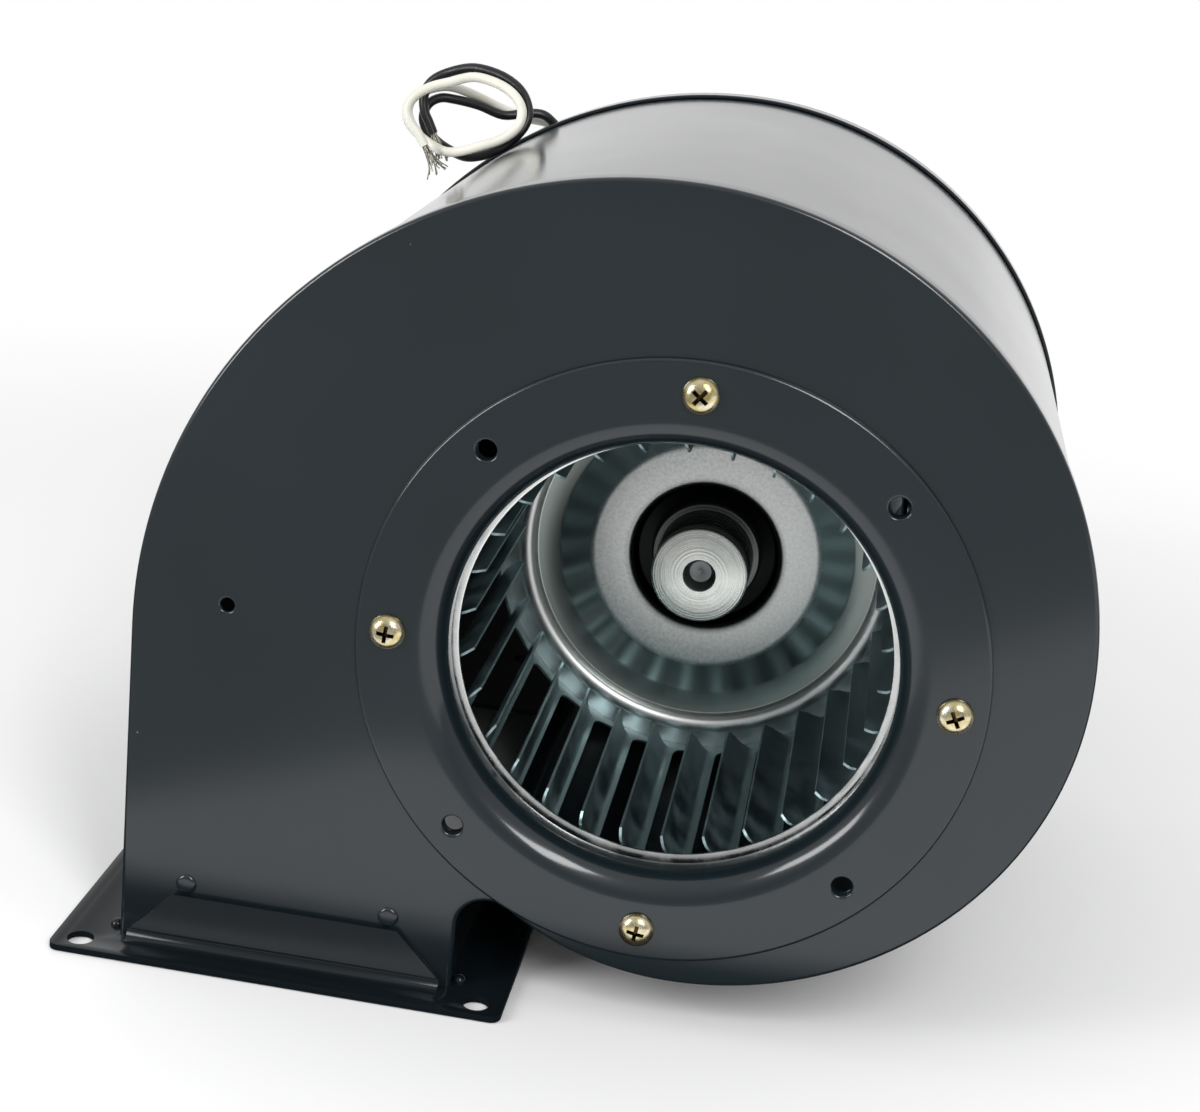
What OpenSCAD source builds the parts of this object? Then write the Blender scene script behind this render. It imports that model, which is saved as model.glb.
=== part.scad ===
// Double-inlet centrifugal blower: a sheet-steel scroll housing with a flanged outlet,
// a strip-formed wheel with forward-curved blades, and a shaded-pole motor that hangs
// on a four-armed bracket behind the rear inlet.
// The wheel turns anticlockwise as seen from the front inlet.

/* [Housing] */
// Thickness of the housing sheet
sheet = 1; // [0.8:0.1:1.4]
// How far the scroll's upper right quarter reaches beyond the inlet rings
scroll_margin = 28.9; // [27:0.1:35]
// Growth of the scroll radius at each quarter turn
scroll_step = 15.6; // [14:0.1:16.5]
// Outside width of the outlet duct
duct_width = 81; // [78:0.5:84]
// Outside radius of the cut-off corner beside the duct
cutoff_radius = 7.5; // [6:0.5:8]
// Depth of the lip turned round each side plate
plate_lip = 7; // [5:0.5:9]
// Height of the shaft axis over the flange's lower face
axis_height = 88.5; // [87:0.5:96]
// Distance of the small pilot hole from the shaft axis
pilot_distance = 101; // [96:0.5:106]
// Diameter of the pilot hole
pilot_hole = 3.2; // [2.5:0.1:4]

/* [Outlet flange] */
// Width of the flange lip beyond each side of the duct
side_lip = 14; // [12:0.5:18]
// Width of the flange lip beyond each side plate
end_lip = 10.5; // [9.5:0.5:14]
// Thickness of the flange sheet
flange_sheet = 1.5; // [1.2:0.1:2]
// Corner radius of the flange
flange_corner = 2.5; // [1.5:0.5:5]
// Diameter of the flange's fixing holes
flange_hole = 6.3; // [5:0.1:7]
// Distance of a fixing hole from the flange's side edge
hole_from_side = 6.5; // [5:0.5:7.5]
// Distance of a fixing hole from the flange's end edge
hole_from_end = 5; // [4.5:0.5:6]
// Height of the upturned tab on each end lip
tab_height = 13; // [10:0.5:14]
// How far the tab's upper edge stays inside each side of the duct
tab_inset = 13.5; // [12:0.5:16]
// Diameter of the rivet heads above the tab
rivet_head = 5; // [4:0.5:6]

/* [Inlet rings] */
// Width of the flat rim outside the circle of the ring's screws and tapped holes
rim_margin = 7.5; // [6:0.1:7.5]
// Thickness of the inlet ring sheet
ring_sheet = 1.2; // [1:0.1:1.5]
// Distance from the edge of the rolled mouth to the circle of screws and tapped holes
bolt_offset = 5.5; // [5.3:0.1:7]
// Radius of the roll from the flat rim into the throat
mouth_round = 7.2; // [5:0.1:8]
// How far the throat covers the wheel's end ring
throat_cover = 3.2; // [2.8:0.1:3.6]
// Depth that the throat reaches behind the side plate's outer face
throat_depth = 9.4; // [8:0.1:11]
// Diameter of the tapped holes
tapped_hole = 4.6; // [4.4:0.1:5]
// Diameter of the ring screws' heads
screw_head = 8.2; // [7:0.1:8.6]
// Diameter of the ring screws' shanks
screw_shank = 4.1; // [3.5:0.1:4.2]

/* [Wheel] */
// Outer radius of the blade strip
wheel_radius = 54; // [52:0.5:55]
// Width of the wheel over its two end rings
wheel_width = 152.4; // [140:0.2:155]
// Number of blades in each row
blade_count = 30; // [24:1:34]
// Depth of the blades from the strip's outer face to their free inner edges
blade_depth = 7.4; // [6.4:0.2:8.4]
// Thickness of the blade strip
strip = 0.6; // [0.5:0.1:0.9]
// Width of the plain band between the two rows of blades
centre_band = 9; // [8:0.5:12]
// Thickness of the centre plate
plate_sheet = 0.9; // [0.7:0.1:1.2]

/* [Hub and shaft] */
// Diameter of the shaft
shaft_diameter = 7.9; // [7:0.1:9]
// Diameter of the hub
hub_diameter = 24.4; // [22:0.2:25]
// Length of the hub in front of its collar
hub_length = 17; // [14:0.5:20]

/* [Motor] */
// Outer radius of the motor's end bells
motor_radius = 42; // [41:0.5:44]
// Length of the motor over its end bells
motor_length = 88; // [84:1:96]
// Length of the stator and rotor cores
core_length = 36; // [30:1:40]
// Gap between the rear inlet ring and the motor bracket's plate
bracket_gap = 22.8; // [20:0.1:30]
// Thickness of the bracket sheet
bracket_sheet = 2; // [1.5:0.1:2.5]
// Width of the bracket's arms
arm_width = 14; // [12:0.5:16]
// Radius of the circle that the motor's through bolts lie on
through_circle = 36.4; // [36:0.1:36.8]
// Diameter of the through bolts
through_bolt = 4; // [3.5:0.1:4.2]

/* [Leads] */
// Outer diameter of each lead
lead_diameter = 2.7; // [2:0.1:2.8]
// Length of the stripped strands on each lead
strand_length = 9; // [6:0.5:12]

/* [Hidden] */
$fn = 64;

// Clearances between neighbouring pieces
seam_gap = 0.05;
bolt_gap = 0.1;
running_gap = 0.03;
air_gap = 0.4;
throat_gap = 1.4;
cut = 1;

// Radii that follow the wheel from its blades out to the scroll
blade_inner = wheel_radius - blade_depth;
throat_radius = wheel_radius - throat_cover;
mouth_edge = throat_radius + mouth_round;
bolt_circle = mouth_edge + bolt_offset;
ring_radius = bolt_circle + rim_margin;
scroll_radius = ring_radius + scroll_margin;

// Depth over the outer faces of the two side plates
wheel_front = throat_depth + throat_gap;
housing_depth = wheel_width + 2 * wheel_front;

// Scroll and outlet duct, measured from the shaft axis
half_step = scroll_step / 2;
duct_left = -(half_step + scroll_radius + scroll_step);
duct_right = duct_left + duct_width;
axis_x = -(duct_left + duct_right) / 2;
mouth_z = flange_sheet - axis_height;
wrap_outside = sheet + seam_gap;
wrap_inside = wrap_outside + sheet;
cutoff_x = duct_right + cutoff_radius;
cutoff_reach = scroll_radius - 2 * scroll_step + cutoff_radius;
cutoff_z = -half_step - sqrt(pow(cutoff_reach, 2) - pow(cutoff_x - half_step, 2));

// Outlet flange
flange_width = duct_width + 2 * side_lip;
flange_depth = housing_depth + 2 * end_lip;
tab_top_width = duct_width - 2 * tab_inset;
tab_slant = tab_height - 2;
tab_base_width = tab_top_width + 2 * tab_slant;
tab_bend = 2.5;
rivet_shank = 2;
rivet_rise = 0.7;
rivet_spacing = tab_top_width - rivet_head;
rivet_height = flange_sheet + tab_height + rivet_head / 2 + bolt_gap;
weld_radius = 1.6;

// Inlet rings
mouth_end = mouth_round - ring_sheet;
recess_width = 1;
recess_length = 0.56 * screw_head;
recess_turn = 20;
plate_hole = mouth_edge + 1;
tapped_neck = tapped_hole / 2 + 0.9;
tapped_depth = 3;
screw_hole = screw_shank / 2 + bolt_gap;
screw_length = 8;
screw_rise = 2.6;
recess_depth = 0.6 * screw_rise;

// Wheel
wheel_middle = housing_depth / 2;
end_ring_sheet = 0.8;
end_ring_show = 1.4;
end_ring_inner = throat_radius - end_ring_show;
end_ring_skirt = 5;
strip_inside = wheel_radius - strip;
blade_pitch = 360 / blade_count;
blade_lag = 0.4 * blade_pitch;
blade_bow = 0.9;
blade_steps = 6;
slot_angle = 0.78 * blade_pitch;
slot_corner = 3.4;
blade_front = wheel_front + end_ring_sheet + 1;
blade_back = wheel_middle - centre_band / 2;
front_chamfer = 1.6;
back_chamfer = 3;
back_chamfer_width = 2.5;
blade_root_angle = 0.8;
blade_phase = 1.4;

// Centre plate, as distances in front of the wheel's middle plane
rim_radius = strip_inside - seam_gap;
rim_front = 0.6;
ridge_round = 2.2;
ridge_radius = blade_inner;
ridge_front = 3.4;
ridge_inside = ridge_radius - ridge_round;
ridge_outside = ridge_radius + ridge_round;
crease_radius = ridge_inside - 6.2;
crease_front = 0;
flat_outer = crease_radius - 8.8;
flat_front = 3;
well_round = 2;
well_front = -2;

// Hub
shaft_radius = shaft_diameter / 2;
hub_radius = hub_diameter / 2;
hub_collar = hub_radius + 1.8;
well_radius = hub_collar + 4;
flat_inner = well_radius + 2.5;
collar_length = 3.5;
hub_neck = hub_radius - 2;
hub_flange = hub_neck + 1.8;
hub_flange_length = 3;
hub_seat = wheel_middle - well_front;
hub_front = hub_seat - collar_length - hub_length;
shaft_recess = 3.5;
set_screw_radius = 2.4;
set_screw_angle = -60;

// Motor
ring_face = housing_depth + ring_sheet;
motor_front = ring_face + bracket_gap + bracket_sheet;
motor_rear = motor_front + motor_length;
motor_middle = (motor_front + motor_rear) / 2;
bell_sheet = 1.6;
bell_inside = motor_radius - bell_sheet;
bearing_outer = shaft_radius + 3.6;
bearing_length = 14;
boss_radius = bearing_outer + 2.5;
shaft_rear = motor_rear - bell_sheet - 1;
shaft_front = hub_front + shaft_recess;
rotor_radius = 21.6;
rotor_end_ring = 5;
end_ring_outer = rotor_radius - 1.6;
end_ring_bore = rotor_radius - 9;
bore_radius = rotor_radius + air_gap;
yoke_inner = 33;
pole_width = 13;
pole_tip = 25.4;
coil_gap = 0.3;
coil_width = 4.5;
washer_thickness = 1.5;
vent_circle = 20;
vent_radius = 4;
side_vent_count = 12;
side_vent_width = 6;
side_vent_length = 14;
bracket_inner = 29;
bracket_outer = motor_radius + 2;
arm_reach = bolt_circle + screw_head / 2 + 1 + bracket_sheet;
arm_foot = mouth_edge + 2 * air_gap;
hex_nut = through_bolt * 0.9;
nut_height = 3.2;

// Leads, measured from the shaft axis and the front plate's outer face
lead_radius = lead_diameter / 2;
lead_sides = 8;
lead_spread = 2;
lead_station = motor_front + 13;
grommet_radius = 5;
grommet_flange = 1.4;
strand_radius = 0.55;

// Routes of the two leads: out of the motor, up the rear plate, over its rim and round one and a half turns
black_route = [
    [0, 211, 39], [0, 211, 47], [-2, 210, 54], [-8, 207, 61], [-17, 202, 68], [-28, 195, 75], [-39, 188, 81],
    [-49, 182, 86], [-57, 178, 89], [-63, 176.5, 92], [-67, 174.5, 95], [-72, 173, 95], [-78, 171, 94],
    [-85, 170, 96], [-92, 169, 97], [-96, 168, 97], [-99, 167, 95], [-100, 166, 91.5], [-98.5, 165, 88],
    [-95, 163.5, 85.5], [-91, 161, 84], [-86, 158, 83], [-81, 155, 84], [-75, 151, 87], [-70.5, 150, 91],
    [-68, 151, 95], [-68, 153, 99], [-71, 155, 103.5], [-77, 157, 106.5], [-85, 159, 107.5],
    [-92, 161, 105.5], [-97, 161, 102.5], [-99, 160.5, 98.5], [-98.5, 160, 94], [-97, 160, 91],
    [-95.5, 160, 88]
];
white_route = [
    [0, 215, 39], [0, 215, 47], [-2, 214, 54], [-8, 211, 61], [-17, 206, 68], [-28, 199, 75], [-39, 192, 81],
    [-49, 186, 86], [-57, 182, 89], [-63, 180, 91.5], [-67, 179, 92.5], [-71.5, 178, 93], [-76, 177, 94],
    [-81.5, 175, 96], [-88, 171, 99], [-93.5, 168, 100.5], [-98.5, 166, 99.5], [-102.5, 164, 97],
    [-104, 162, 93.5], [-103, 161, 90], [-99.5, 160, 87], [-95, 158, 85], [-91, 156, 84], [-86, 153, 85],
    [-79, 149, 88], [-73, 146.5, 91], [-69.5, 147, 94.5], [-69, 149, 98.5], [-71.5, 151, 102],
    [-76.5, 153, 104.5], [-84, 155, 105.5], [-90.5, 154, 103.5], [-96, 153, 101.5], [-100, 152, 98.5],
    [-101.5, 152, 95], [-100.5, 152, 91.5], [-98, 152, 88.5], [-96, 152, 85.5]
];

// Places pieces that are drawn from the shaft axis and the front plate's outer face
module at_axis() {
    translate([axis_x, -housing_depth / 2, axis_height]) children();
}

// Mirrors a piece that is drawn on the front plate to the rear plate
module on_rear_plate() {
    translate([0, housing_depth, 0]) mirror([0, 1, 0]) children();
}

// Extrudes a front view along the shaft axis, between two depths
module slab(from, to) {
    translate([0, to, 0]) rotate([90, 0, 0]) linear_extrude(to - from) children();
}

// Turns a section of radius and depth about the shaft axis
module lathe() {
    rotate([-90, 0, 0]) rotate_extrude() children();
}

// A round bar along the shaft axis, between two depths
module bar(radius, from, to, sides = $fn) {
    translate([0, from, 0]) rotate([-90, 0, 0]) cylinder(r = radius, h = to - from, $fn = sides);
}

// Repeats a piece round the shaft axis
module around(count, radius, first = 0) {
    for (k = [0 : count - 1])
        rotate([0, -first - k * 360 / count, 0]) translate([radius, 0, 0]) children();
}

// A rectangle with round corners, from its lower left corner
module rounded_rectangle(size, corner) {
    translate([corner, 0]) square([size.x - 2 * corner, size.y]);
    translate([0, corner]) square([size.x, size.y - 2 * corner]);
    for (x = [corner, size.x - corner], y = [corner, size.y - corner])
        translate([x, y]) circle(corner);
}

// A quarter of a disc on one side of its centre each way
module quarter_disc(centre, radius, side) {
    intersection() {
        translate(centre) circle(radius);
        translate([centre.x + min(side.x, 0) * radius, centre.y + min(side.y, 0) * radius]) square(radius);
    }
}

// Front view of the housing: four quarter arcs, the outlet duct and the hollow cut-off corner
module scroll_outline(inset = 0, below = 0) {
    difference() {
        union() {
            quarter_disc([-half_step, half_step], scroll_radius - inset, [1, 1]);
            quarter_disc([-half_step, -half_step], scroll_radius + scroll_step - inset, [-1, 1]);
            quarter_disc([half_step, half_step], scroll_radius - scroll_step - inset, [1, -1]);
            quarter_disc([half_step, -half_step], scroll_radius - 2 * scroll_step - inset, [-1, -1]);
            square(scroll_step, center = true);
            translate([duct_left + inset, mouth_z - below])
                square([duct_width - 2 * inset, -half_step - mouth_z + below]);
            polygon([
                [duct_right - inset, cutoff_z], [cutoff_x, cutoff_z],
                [half_step, -half_step], [duct_right - inset, -half_step]
            ]);
        }
        translate([cutoff_x, cutoff_z]) circle(cutoff_radius + inset);
    }
}

// A pressed side plate: scroll-shaped face, turned lip, inlet hole and fixing holes
module side_plate() {
    difference() {
        slab(0, plate_lip) scroll_outline();
        slab(sheet, plate_lip + cut) scroll_outline(sheet, cut);
        translate([-pilot_distance, 0, 0]) bar(pilot_hole / 2, -cut, sheet + cut);
        bar(plate_hole, -cut, sheet + cut);
        around(4, bolt_circle) bar(screw_hole, -cut, sheet + cut);
        around(4, bolt_circle, 45) bar(tapped_neck + bolt_gap, -cut, sheet + cut);
        flange_rivet_places() bar(rivet_shank / 2 + bolt_gap, -cut, sheet + cut);
    }
}

module flange_rivet_places() {
    for (side = [-1, 1])
        translate([side * rivet_spacing / 2 - axis_x, 0, rivet_height - axis_height]) children();
}

module front_plate() {
    color("#363c3f") at_axis() side_plate();
}

module rear_plate() {
    color("#363c3f") at_axis() on_rear_plate() side_plate();
}

module scroll_wrap() {
    color("#3c4346") at_axis() difference() {
        slab(sheet, housing_depth - sheet) scroll_outline(wrap_outside);
        slab(sheet - cut, housing_depth - sheet + cut) scroll_outline(wrap_inside, cut);
    }
}

// Upturned tab of the flange, on the face of one side plate
module flange_tab() {
    slab(-flange_sheet, 0) polygon([
        [-tab_base_width / 2, 0], [tab_base_width / 2, 0],
        [tab_base_width / 2, flange_sheet + tab_height - tab_slant],
        [tab_top_width / 2, flange_sheet + tab_height], [-tab_top_width / 2, flange_sheet + tab_height],
        [-tab_base_width / 2, flange_sheet + tab_height - tab_slant]
    ]);
    difference() {
        translate([-tab_base_width / 2, -flange_sheet - tab_bend, 0])
            cube([tab_base_width, tab_bend, flange_sheet + tab_bend]);
        translate([0, -flange_sheet - tab_bend, flange_sheet + tab_bend]) rotate([0, 90, 0])
            cylinder(r = tab_bend, h = tab_base_width + 2 * cut, center = true);
    }
}

module outlet_flange() {
    opening_width = duct_width - 2 * wrap_inside;
    opening_depth = housing_depth - 2 * sheet;
    hole_x = flange_width / 2 - hole_from_side;
    hole_y = flange_depth / 2 - hole_from_end;
    color("#1f2426") difference() {
        union() {
            translate([-flange_width / 2, -flange_depth / 2, 0]) linear_extrude(flange_sheet)
                rounded_rectangle([flange_width, flange_depth], flange_corner);
            for (turn = [0, 180])
                rotate([0, 0, turn]) translate([0, -housing_depth / 2, 0]) flange_tab();
        }
        translate([-opening_width / 2, -opening_depth / 2, -cut])
            cube([opening_width, opening_depth, flange_sheet + 2 * cut]);
        for (x = [-hole_x, hole_x], y = [-hole_y, hole_y])
            translate([x, y, -cut]) cylinder(d = flange_hole, h = flange_sheet + 2 * cut);
    }
}

// A low rivet head on the plate's face, its shank and its closed end inside
module flange_rivet() {
    lathe() polygon([
        [0, -rivet_rise], [rivet_head / 2 - rivet_rise / 2, -rivet_rise], [rivet_head / 2, -rivet_rise / 2],
        [rivet_head / 2, 0], [rivet_shank / 2, 0], [rivet_shank / 2, sheet], [rivet_shank, sheet],
        [rivet_shank, sheet + rivet_rise], [0, sheet + rivet_rise]
    ]);
}

module flange_rivets() {
    color("#2b3033") at_axis() {
        flange_rivet_places() flange_rivet();
        on_rear_plate() flange_rivet_places() flange_rivet();
    }
}

// A weld bead on the flange at each corner of the duct
module corner_welds() {
    weld_x = duct_width / 2 + weld_radius + seam_gap;
    weld_y = housing_depth / 2 - plate_lip / 2;
    color("#2b3033") for (x = [-weld_x, weld_x], y = [-weld_y, weld_y])
        translate([x, y, flange_sheet]) intersection() {
            sphere(weld_radius);
            translate([-weld_radius, -weld_radius, 0]) cube([2 * weld_radius, 2 * weld_radius, weld_radius]);
        }
}

// Inlet ring on the front plate: flat rim, mouth rolled in to a short throat, and extruded tapped holes
module inlet_ring() {
    difference() {
        union() {
            lathe() {
                translate([mouth_edge, -ring_sheet]) square([ring_radius - mouth_edge, ring_sheet]);
                intersection() {
                    translate([mouth_edge, mouth_end]) difference() {
                        circle(mouth_round);
                        circle(mouth_end);
                    }
                    translate([throat_radius, -ring_sheet]) square(mouth_round);
                }
                translate([throat_radius, mouth_end]) square([ring_sheet, throat_depth - mouth_end]);
            }
            around(4, bolt_circle, 45) bar(tapped_neck, -ring_sheet, tapped_depth - ring_sheet);
        }
        around(4, bolt_circle) bar(screw_hole, -ring_sheet - cut, cut);
        around(4, bolt_circle, 45) bar(tapped_hole / 2, -ring_sheet - cut, tapped_depth + cut);
    }
}

module front_inlet_ring() {
    color("#3a4043") at_axis() inlet_ring();
}

module rear_inlet_ring() {
    color("#3a4043") at_axis() on_rear_plate() inlet_ring();
}

// A pan-head screw with a cross recess, seated at depth 0 with its head towards the front
module pan_screw(shank_radius, length) {
    dome = (pow(screw_head / 2, 2) + pow(screw_rise, 2)) / (2 * screw_rise);
    difference() {
        union() {
            lathe() intersection() {
                translate([0, dome - screw_rise]) circle(dome);
                translate([0, -screw_rise]) square([screw_head / 2, screw_rise]);
            }
            bar(shank_radius, 0, length);
        }
        for (turn = [0, 90])
            rotate([0, turn + recess_turn, 0])
                translate([-recess_length / 2, -screw_rise - cut, -recess_width / 2])
                    cube([recess_length, recess_depth + cut, recess_width]);
    }
}

module ring_screws() {
    around(4, bolt_circle) translate([0, -ring_sheet, 0]) pan_screw(screw_shank / 2, screw_length);
}

module front_ring_screws() {
    color("#c9b26a") at_axis() ring_screws();
}

module rear_ring_screws() {
    color("#c9b26a") at_axis() on_rear_plate() ring_screws();
}

// Four-armed bracket from the rear ring's tapped holes to the motor's front end bell
module motor_bracket() {
    plate_front = motor_front - bracket_sheet;
    color("#3a4043") at_axis() difference() {
        union() {
            bar(bracket_outer, plate_front, motor_front);
            for (k = [0 : 3])
                rotate([0, -45 - k * 90, 0]) {
                    translate([bracket_inner, plate_front, -arm_width / 2])
                        cube([arm_reach - bracket_inner, bracket_sheet, arm_width]);
                    translate([arm_reach - bracket_sheet, ring_face, -arm_width / 2])
                        cube([bracket_sheet, motor_front - ring_face, arm_width]);
                    translate([arm_foot, ring_face, -arm_width / 2])
                        cube([arm_reach - arm_foot, bracket_sheet, arm_width]);
                }
        }
        bar(bracket_inner, plate_front - cut, motor_front + cut);
        around(4, through_circle, 45) bar(through_bolt / 2 + bolt_gap, plate_front - cut, motor_front + cut);
        around(4, bolt_circle, 45)
            bar(tapped_hole / 2 + bolt_gap, ring_face - cut, ring_face + bracket_sheet + cut);
    }
}

module bracket_screws() {
    foot_thickness = ring_sheet + bracket_sheet;
    color("#c9b26a") at_axis() on_rear_plate() around(4, bolt_circle, 45)
        translate([0, -foot_thickness, 0]) pan_screw(tapped_hole / 2 - seam_gap, screw_length);
}

// A drawn end bell with its bearing boss, vents and through bolt holes, from its face inwards
module end_bell(side_vents, shaft_passes) {
    vent_corner = side_vent_width / 2 - seam_gap;
    half_length = motor_length / 2;
    boss_length = bearing_length + 1;
    difference() {
        lathe() {
            square([motor_radius, bell_sheet]);
            translate([bell_inside, 0]) square([bell_sheet, half_length]);
            square([boss_radius, boss_length]);
        }
        bar(bearing_outer + seam_gap, shaft_passes ? -cut : bell_sheet, boss_length + cut);
        around(8, vent_circle, 22.5) bar(vent_radius, -cut, bell_sheet + cut);
        around(4, through_circle, 45) bar(through_bolt / 2 + bolt_gap, -cut, bell_sheet + cut);
        for (k = side_vents)
            rotate([0, -k * 360 / side_vent_count, 0]) rotate([90, 0, 90])
                translate([bell_sheet * 3, -side_vent_width / 2, bell_inside - cut])
                    linear_extrude(bell_sheet + 2 * cut)
                        rounded_rectangle([side_vent_length, side_vent_width], vent_corner);
    }
}

module front_end_bell() {
    quarter = side_vent_count / 4;
    color("#8f9696") at_axis() difference() {
        translate([0, motor_front, 0])
            end_bell([for (k = [0 : side_vent_count - 1]) if (k != quarter) k], true);
        translate([0, lead_station, bell_inside - 2 * cut])
            cylinder(r = grommet_radius + seam_gap, h = bell_sheet + 4 * cut);
    }
}

module rear_end_bell() {
    color("#8f9696") at_axis() translate([0, motor_rear, 0]) mirror([0, 1, 0])
        end_bell([for (k = [0 : side_vent_count - 1]) k], false);
}

module through_bolts() {
    head_length = nut_height;
    front = motor_front - bracket_sheet - nut_height - 1;
    color("#b9bcbc") at_axis() around(4, through_circle, 45) {
        bar(through_bolt / 2, front, motor_rear);
        bar(hex_nut, motor_rear, motor_rear + head_length, 6);
    }
}

module bolt_nuts() {
    rear = motor_front - bracket_sheet;
    color("#b9bcbc") at_axis() around(4, through_circle, 45) difference() {
        bar(hex_nut, rear - nut_height, rear, 6);
        bar(through_bolt / 2 + seam_gap, rear - nut_height - cut, rear + cut);
    }
}

// A plain bronze bearing in an end bell's boss, from the bell's face inwards
module sleeve_bearing() {
    difference() {
        bar(bearing_outer, bell_sheet, bearing_length + bell_sheet);
        bar(shaft_radius + running_gap, -cut, bearing_length + bell_sheet + cut);
    }
}

module front_bearing() {
    color("#a9793f") at_axis() translate([0, motor_front, 0]) sleeve_bearing();
}

module rear_bearing() {
    color("#a9793f") at_axis() translate([0, motor_rear, 0]) mirror([0, 1, 0]) sleeve_bearing();
}

// Stator stack: yoke, four poles with curved shoes, and holes for the through bolts
module stator_core() {
    core_radius = bell_inside - seam_gap;
    shoe_angle = 36;
    shoe_reach = 2 * pole_tip;
    color("#6d6f70") at_axis() slab(motor_middle - core_length / 2, motor_middle + core_length / 2)
        difference() {
            union() {
                difference() {
                    circle(core_radius);
                    circle(yoke_inner);
                }
                for (k = [0 : 3])
                    rotate(k * 90) {
                        translate([pole_tip - 2 * cut, -pole_width / 2])
                            square([yoke_inner - pole_tip + 3 * cut, pole_width]);
                        intersection() {
                            circle(pole_tip);
                            polygon([
                                [0, 0], [shoe_reach * cos(shoe_angle), -shoe_reach * sin(shoe_angle)],
                                [shoe_reach, 0], [shoe_reach * cos(shoe_angle), shoe_reach * sin(shoe_angle)]
                            ]);
                        }
                    }
            }
            circle(bore_radius);
            for (k = [0 : 3])
                rotate(45 + k * 90) translate([through_circle, 0]) circle(through_bolt / 2 + bolt_gap);
        }
}

// One coil round each pole neck
module stator_windings() {
    inner_width = pole_width + 2 * coil_gap;
    inner_length = core_length + 2 * coil_gap;
    outer_width = inner_width + 2 * coil_width;
    outer_length = inner_length + 2 * coil_width;
    coil_depth = sqrt(pow(yoke_inner, 2) - pow(outer_width / 2, 2)) - pole_tip - 3 * coil_gap;
    color("#b0622c") at_axis() around(4, pole_tip + 2 * coil_gap)
        translate([0, motor_middle, 0]) rotate([90, 0, 90]) linear_extrude(coil_depth) difference() {
            translate([-outer_length / 2, -outer_width / 2])
                rounded_rectangle([outer_length, outer_width], coil_width);
            translate([-inner_length / 2, -inner_width / 2]) square([inner_length, inner_width]);
        }
}

// Rubber bush in the front end bell, with one passage for each lead
module lead_grommet() {
    flange_radius = grommet_radius + 1.5;
    inner_top = sqrt(pow(bell_inside, 2) - pow(flange_radius, 2)) - seam_gap;
    outer_base = motor_radius + seam_gap;
    bush_length = outer_base - inner_top + 2 * grommet_flange;
    color("#1b1c1d") at_axis() translate([0, lead_station, 0]) difference() {
        union() {
            translate([0, 0, inner_top - grommet_flange])
                cylinder(r = grommet_radius, h = bush_length);
            translate([0, 0, inner_top - grommet_flange]) cylinder(r = flange_radius, h = grommet_flange);
            translate([0, 0, outer_base]) cylinder(r = flange_radius, h = grommet_flange);
        }
        for (side = [-1, 1])
            translate([0, side * lead_spread, inner_top - grommet_flange - cut])
                cylinder(r = lead_radius + bolt_gap, h = bush_length + 2 * cut);
    }
}

function unit(v) = v / norm(v);

// Direction of a route at one of its points
function heading(route, k) = unit(route[min(k + 1, len(route) - 1)] - route[max(k - 1, 0)]);

// Side directions along a route, each carried over from the one before it
function sides(route, k, last) =
    k == len(route) ? [] :
    let (along = heading(route, k), side = unit(last - (last * along) * along))
    concat([side], sides(route, k + 1, side));

// A round lead swept along its route
module lead(route) {
    side = sides(route, 0, [1, 0, 0]);
    points = [
        for (k = [0 : len(route) - 1], s = [0 : lead_sides - 1])
            let (turn = s * 360 / lead_sides, other = cross(heading(route, k), side[k]))
            route[k] + lead_radius * (cos(turn) * side[k] + sin(turn) * other)
    ];
    last = (len(route) - 1) * lead_sides;
    polyhedron(points, concat(
        [[for (s = [0 : lead_sides - 1]) s]],
        [for (k = [0 : len(route) - 2], s = [0 : lead_sides - 1])
            let (next = (s + 1) % lead_sides, base = k * lead_sides)
            [base + next, base + s, base + lead_sides + s, base + lead_sides + next]],
        [[for (s = [lead_sides - 1 : -1 : 0]) last + s]]
    ));
}

module black_lead() {
    color("#17181a") at_axis() lead(black_route);
}

module white_lead() {
    color("#e9e7da") at_axis() lead(white_route);
}

// Twisted tinned strands at the stripped end of each lead
module lead_strands() {
    color("#9b9a86") at_axis() for (route = [black_route, white_route]) {
        end = len(route) - 1;
        along = heading(route, end);
        translate(route[end]) rotate([0, acos(along.z), atan2(along.y, along.x)])
            cylinder(r = strand_radius, h = strand_length);
    }
}

function polar(radius, angle) = radius * [cos(angle), sin(angle)];

// Middle line of a blade's section, from its root on the strip to its free inner edge
function blade_line(share) =
    let (
        root = polar(wheel_radius - strip / 2, blade_root_angle),
        tip = polar(blade_inner, -blade_lag),
        run = tip - root
    )
    root + share * run + 4 * share * (1 - share) * blade_bow * unit([-run.y, run.x]);

// Section of a blade at the strip's thickness
function blade_section() =
    let (across = unit(blade_line(1) - blade_line(0)), off = strip / 2 * [-across.y, across.x])
    concat(
        [for (k = [0 : blade_steps]) blade_line(k / blade_steps) + off],
        [for (k = [blade_steps : -1 : 0]) blade_line(k / blade_steps) - off]
    );

// A slanting cut at a blade's inner corner, from one end of the blades towards their middle
module corner_cut(end, reach, width) {
    lathe() polygon([
        [blade_inner - cut, end - reach], [blade_inner + width, end - reach], [blade_inner + width, end],
        [blade_inner, end + reach], [blade_inner - cut, end + reach]
    ]);
}

// One row of louvred blades and its slots, in front of the wheel's middle plane
module blade_row() {
    difference() {
        slab(blade_front, blade_back)
            for (k = [0 : blade_count - 1]) rotate(blade_phase + k * blade_pitch) polygon(blade_section());
        corner_cut(blade_front, front_chamfer, front_chamfer);
        corner_cut(blade_back, -back_chamfer, back_chamfer_width);
    }
}

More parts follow.
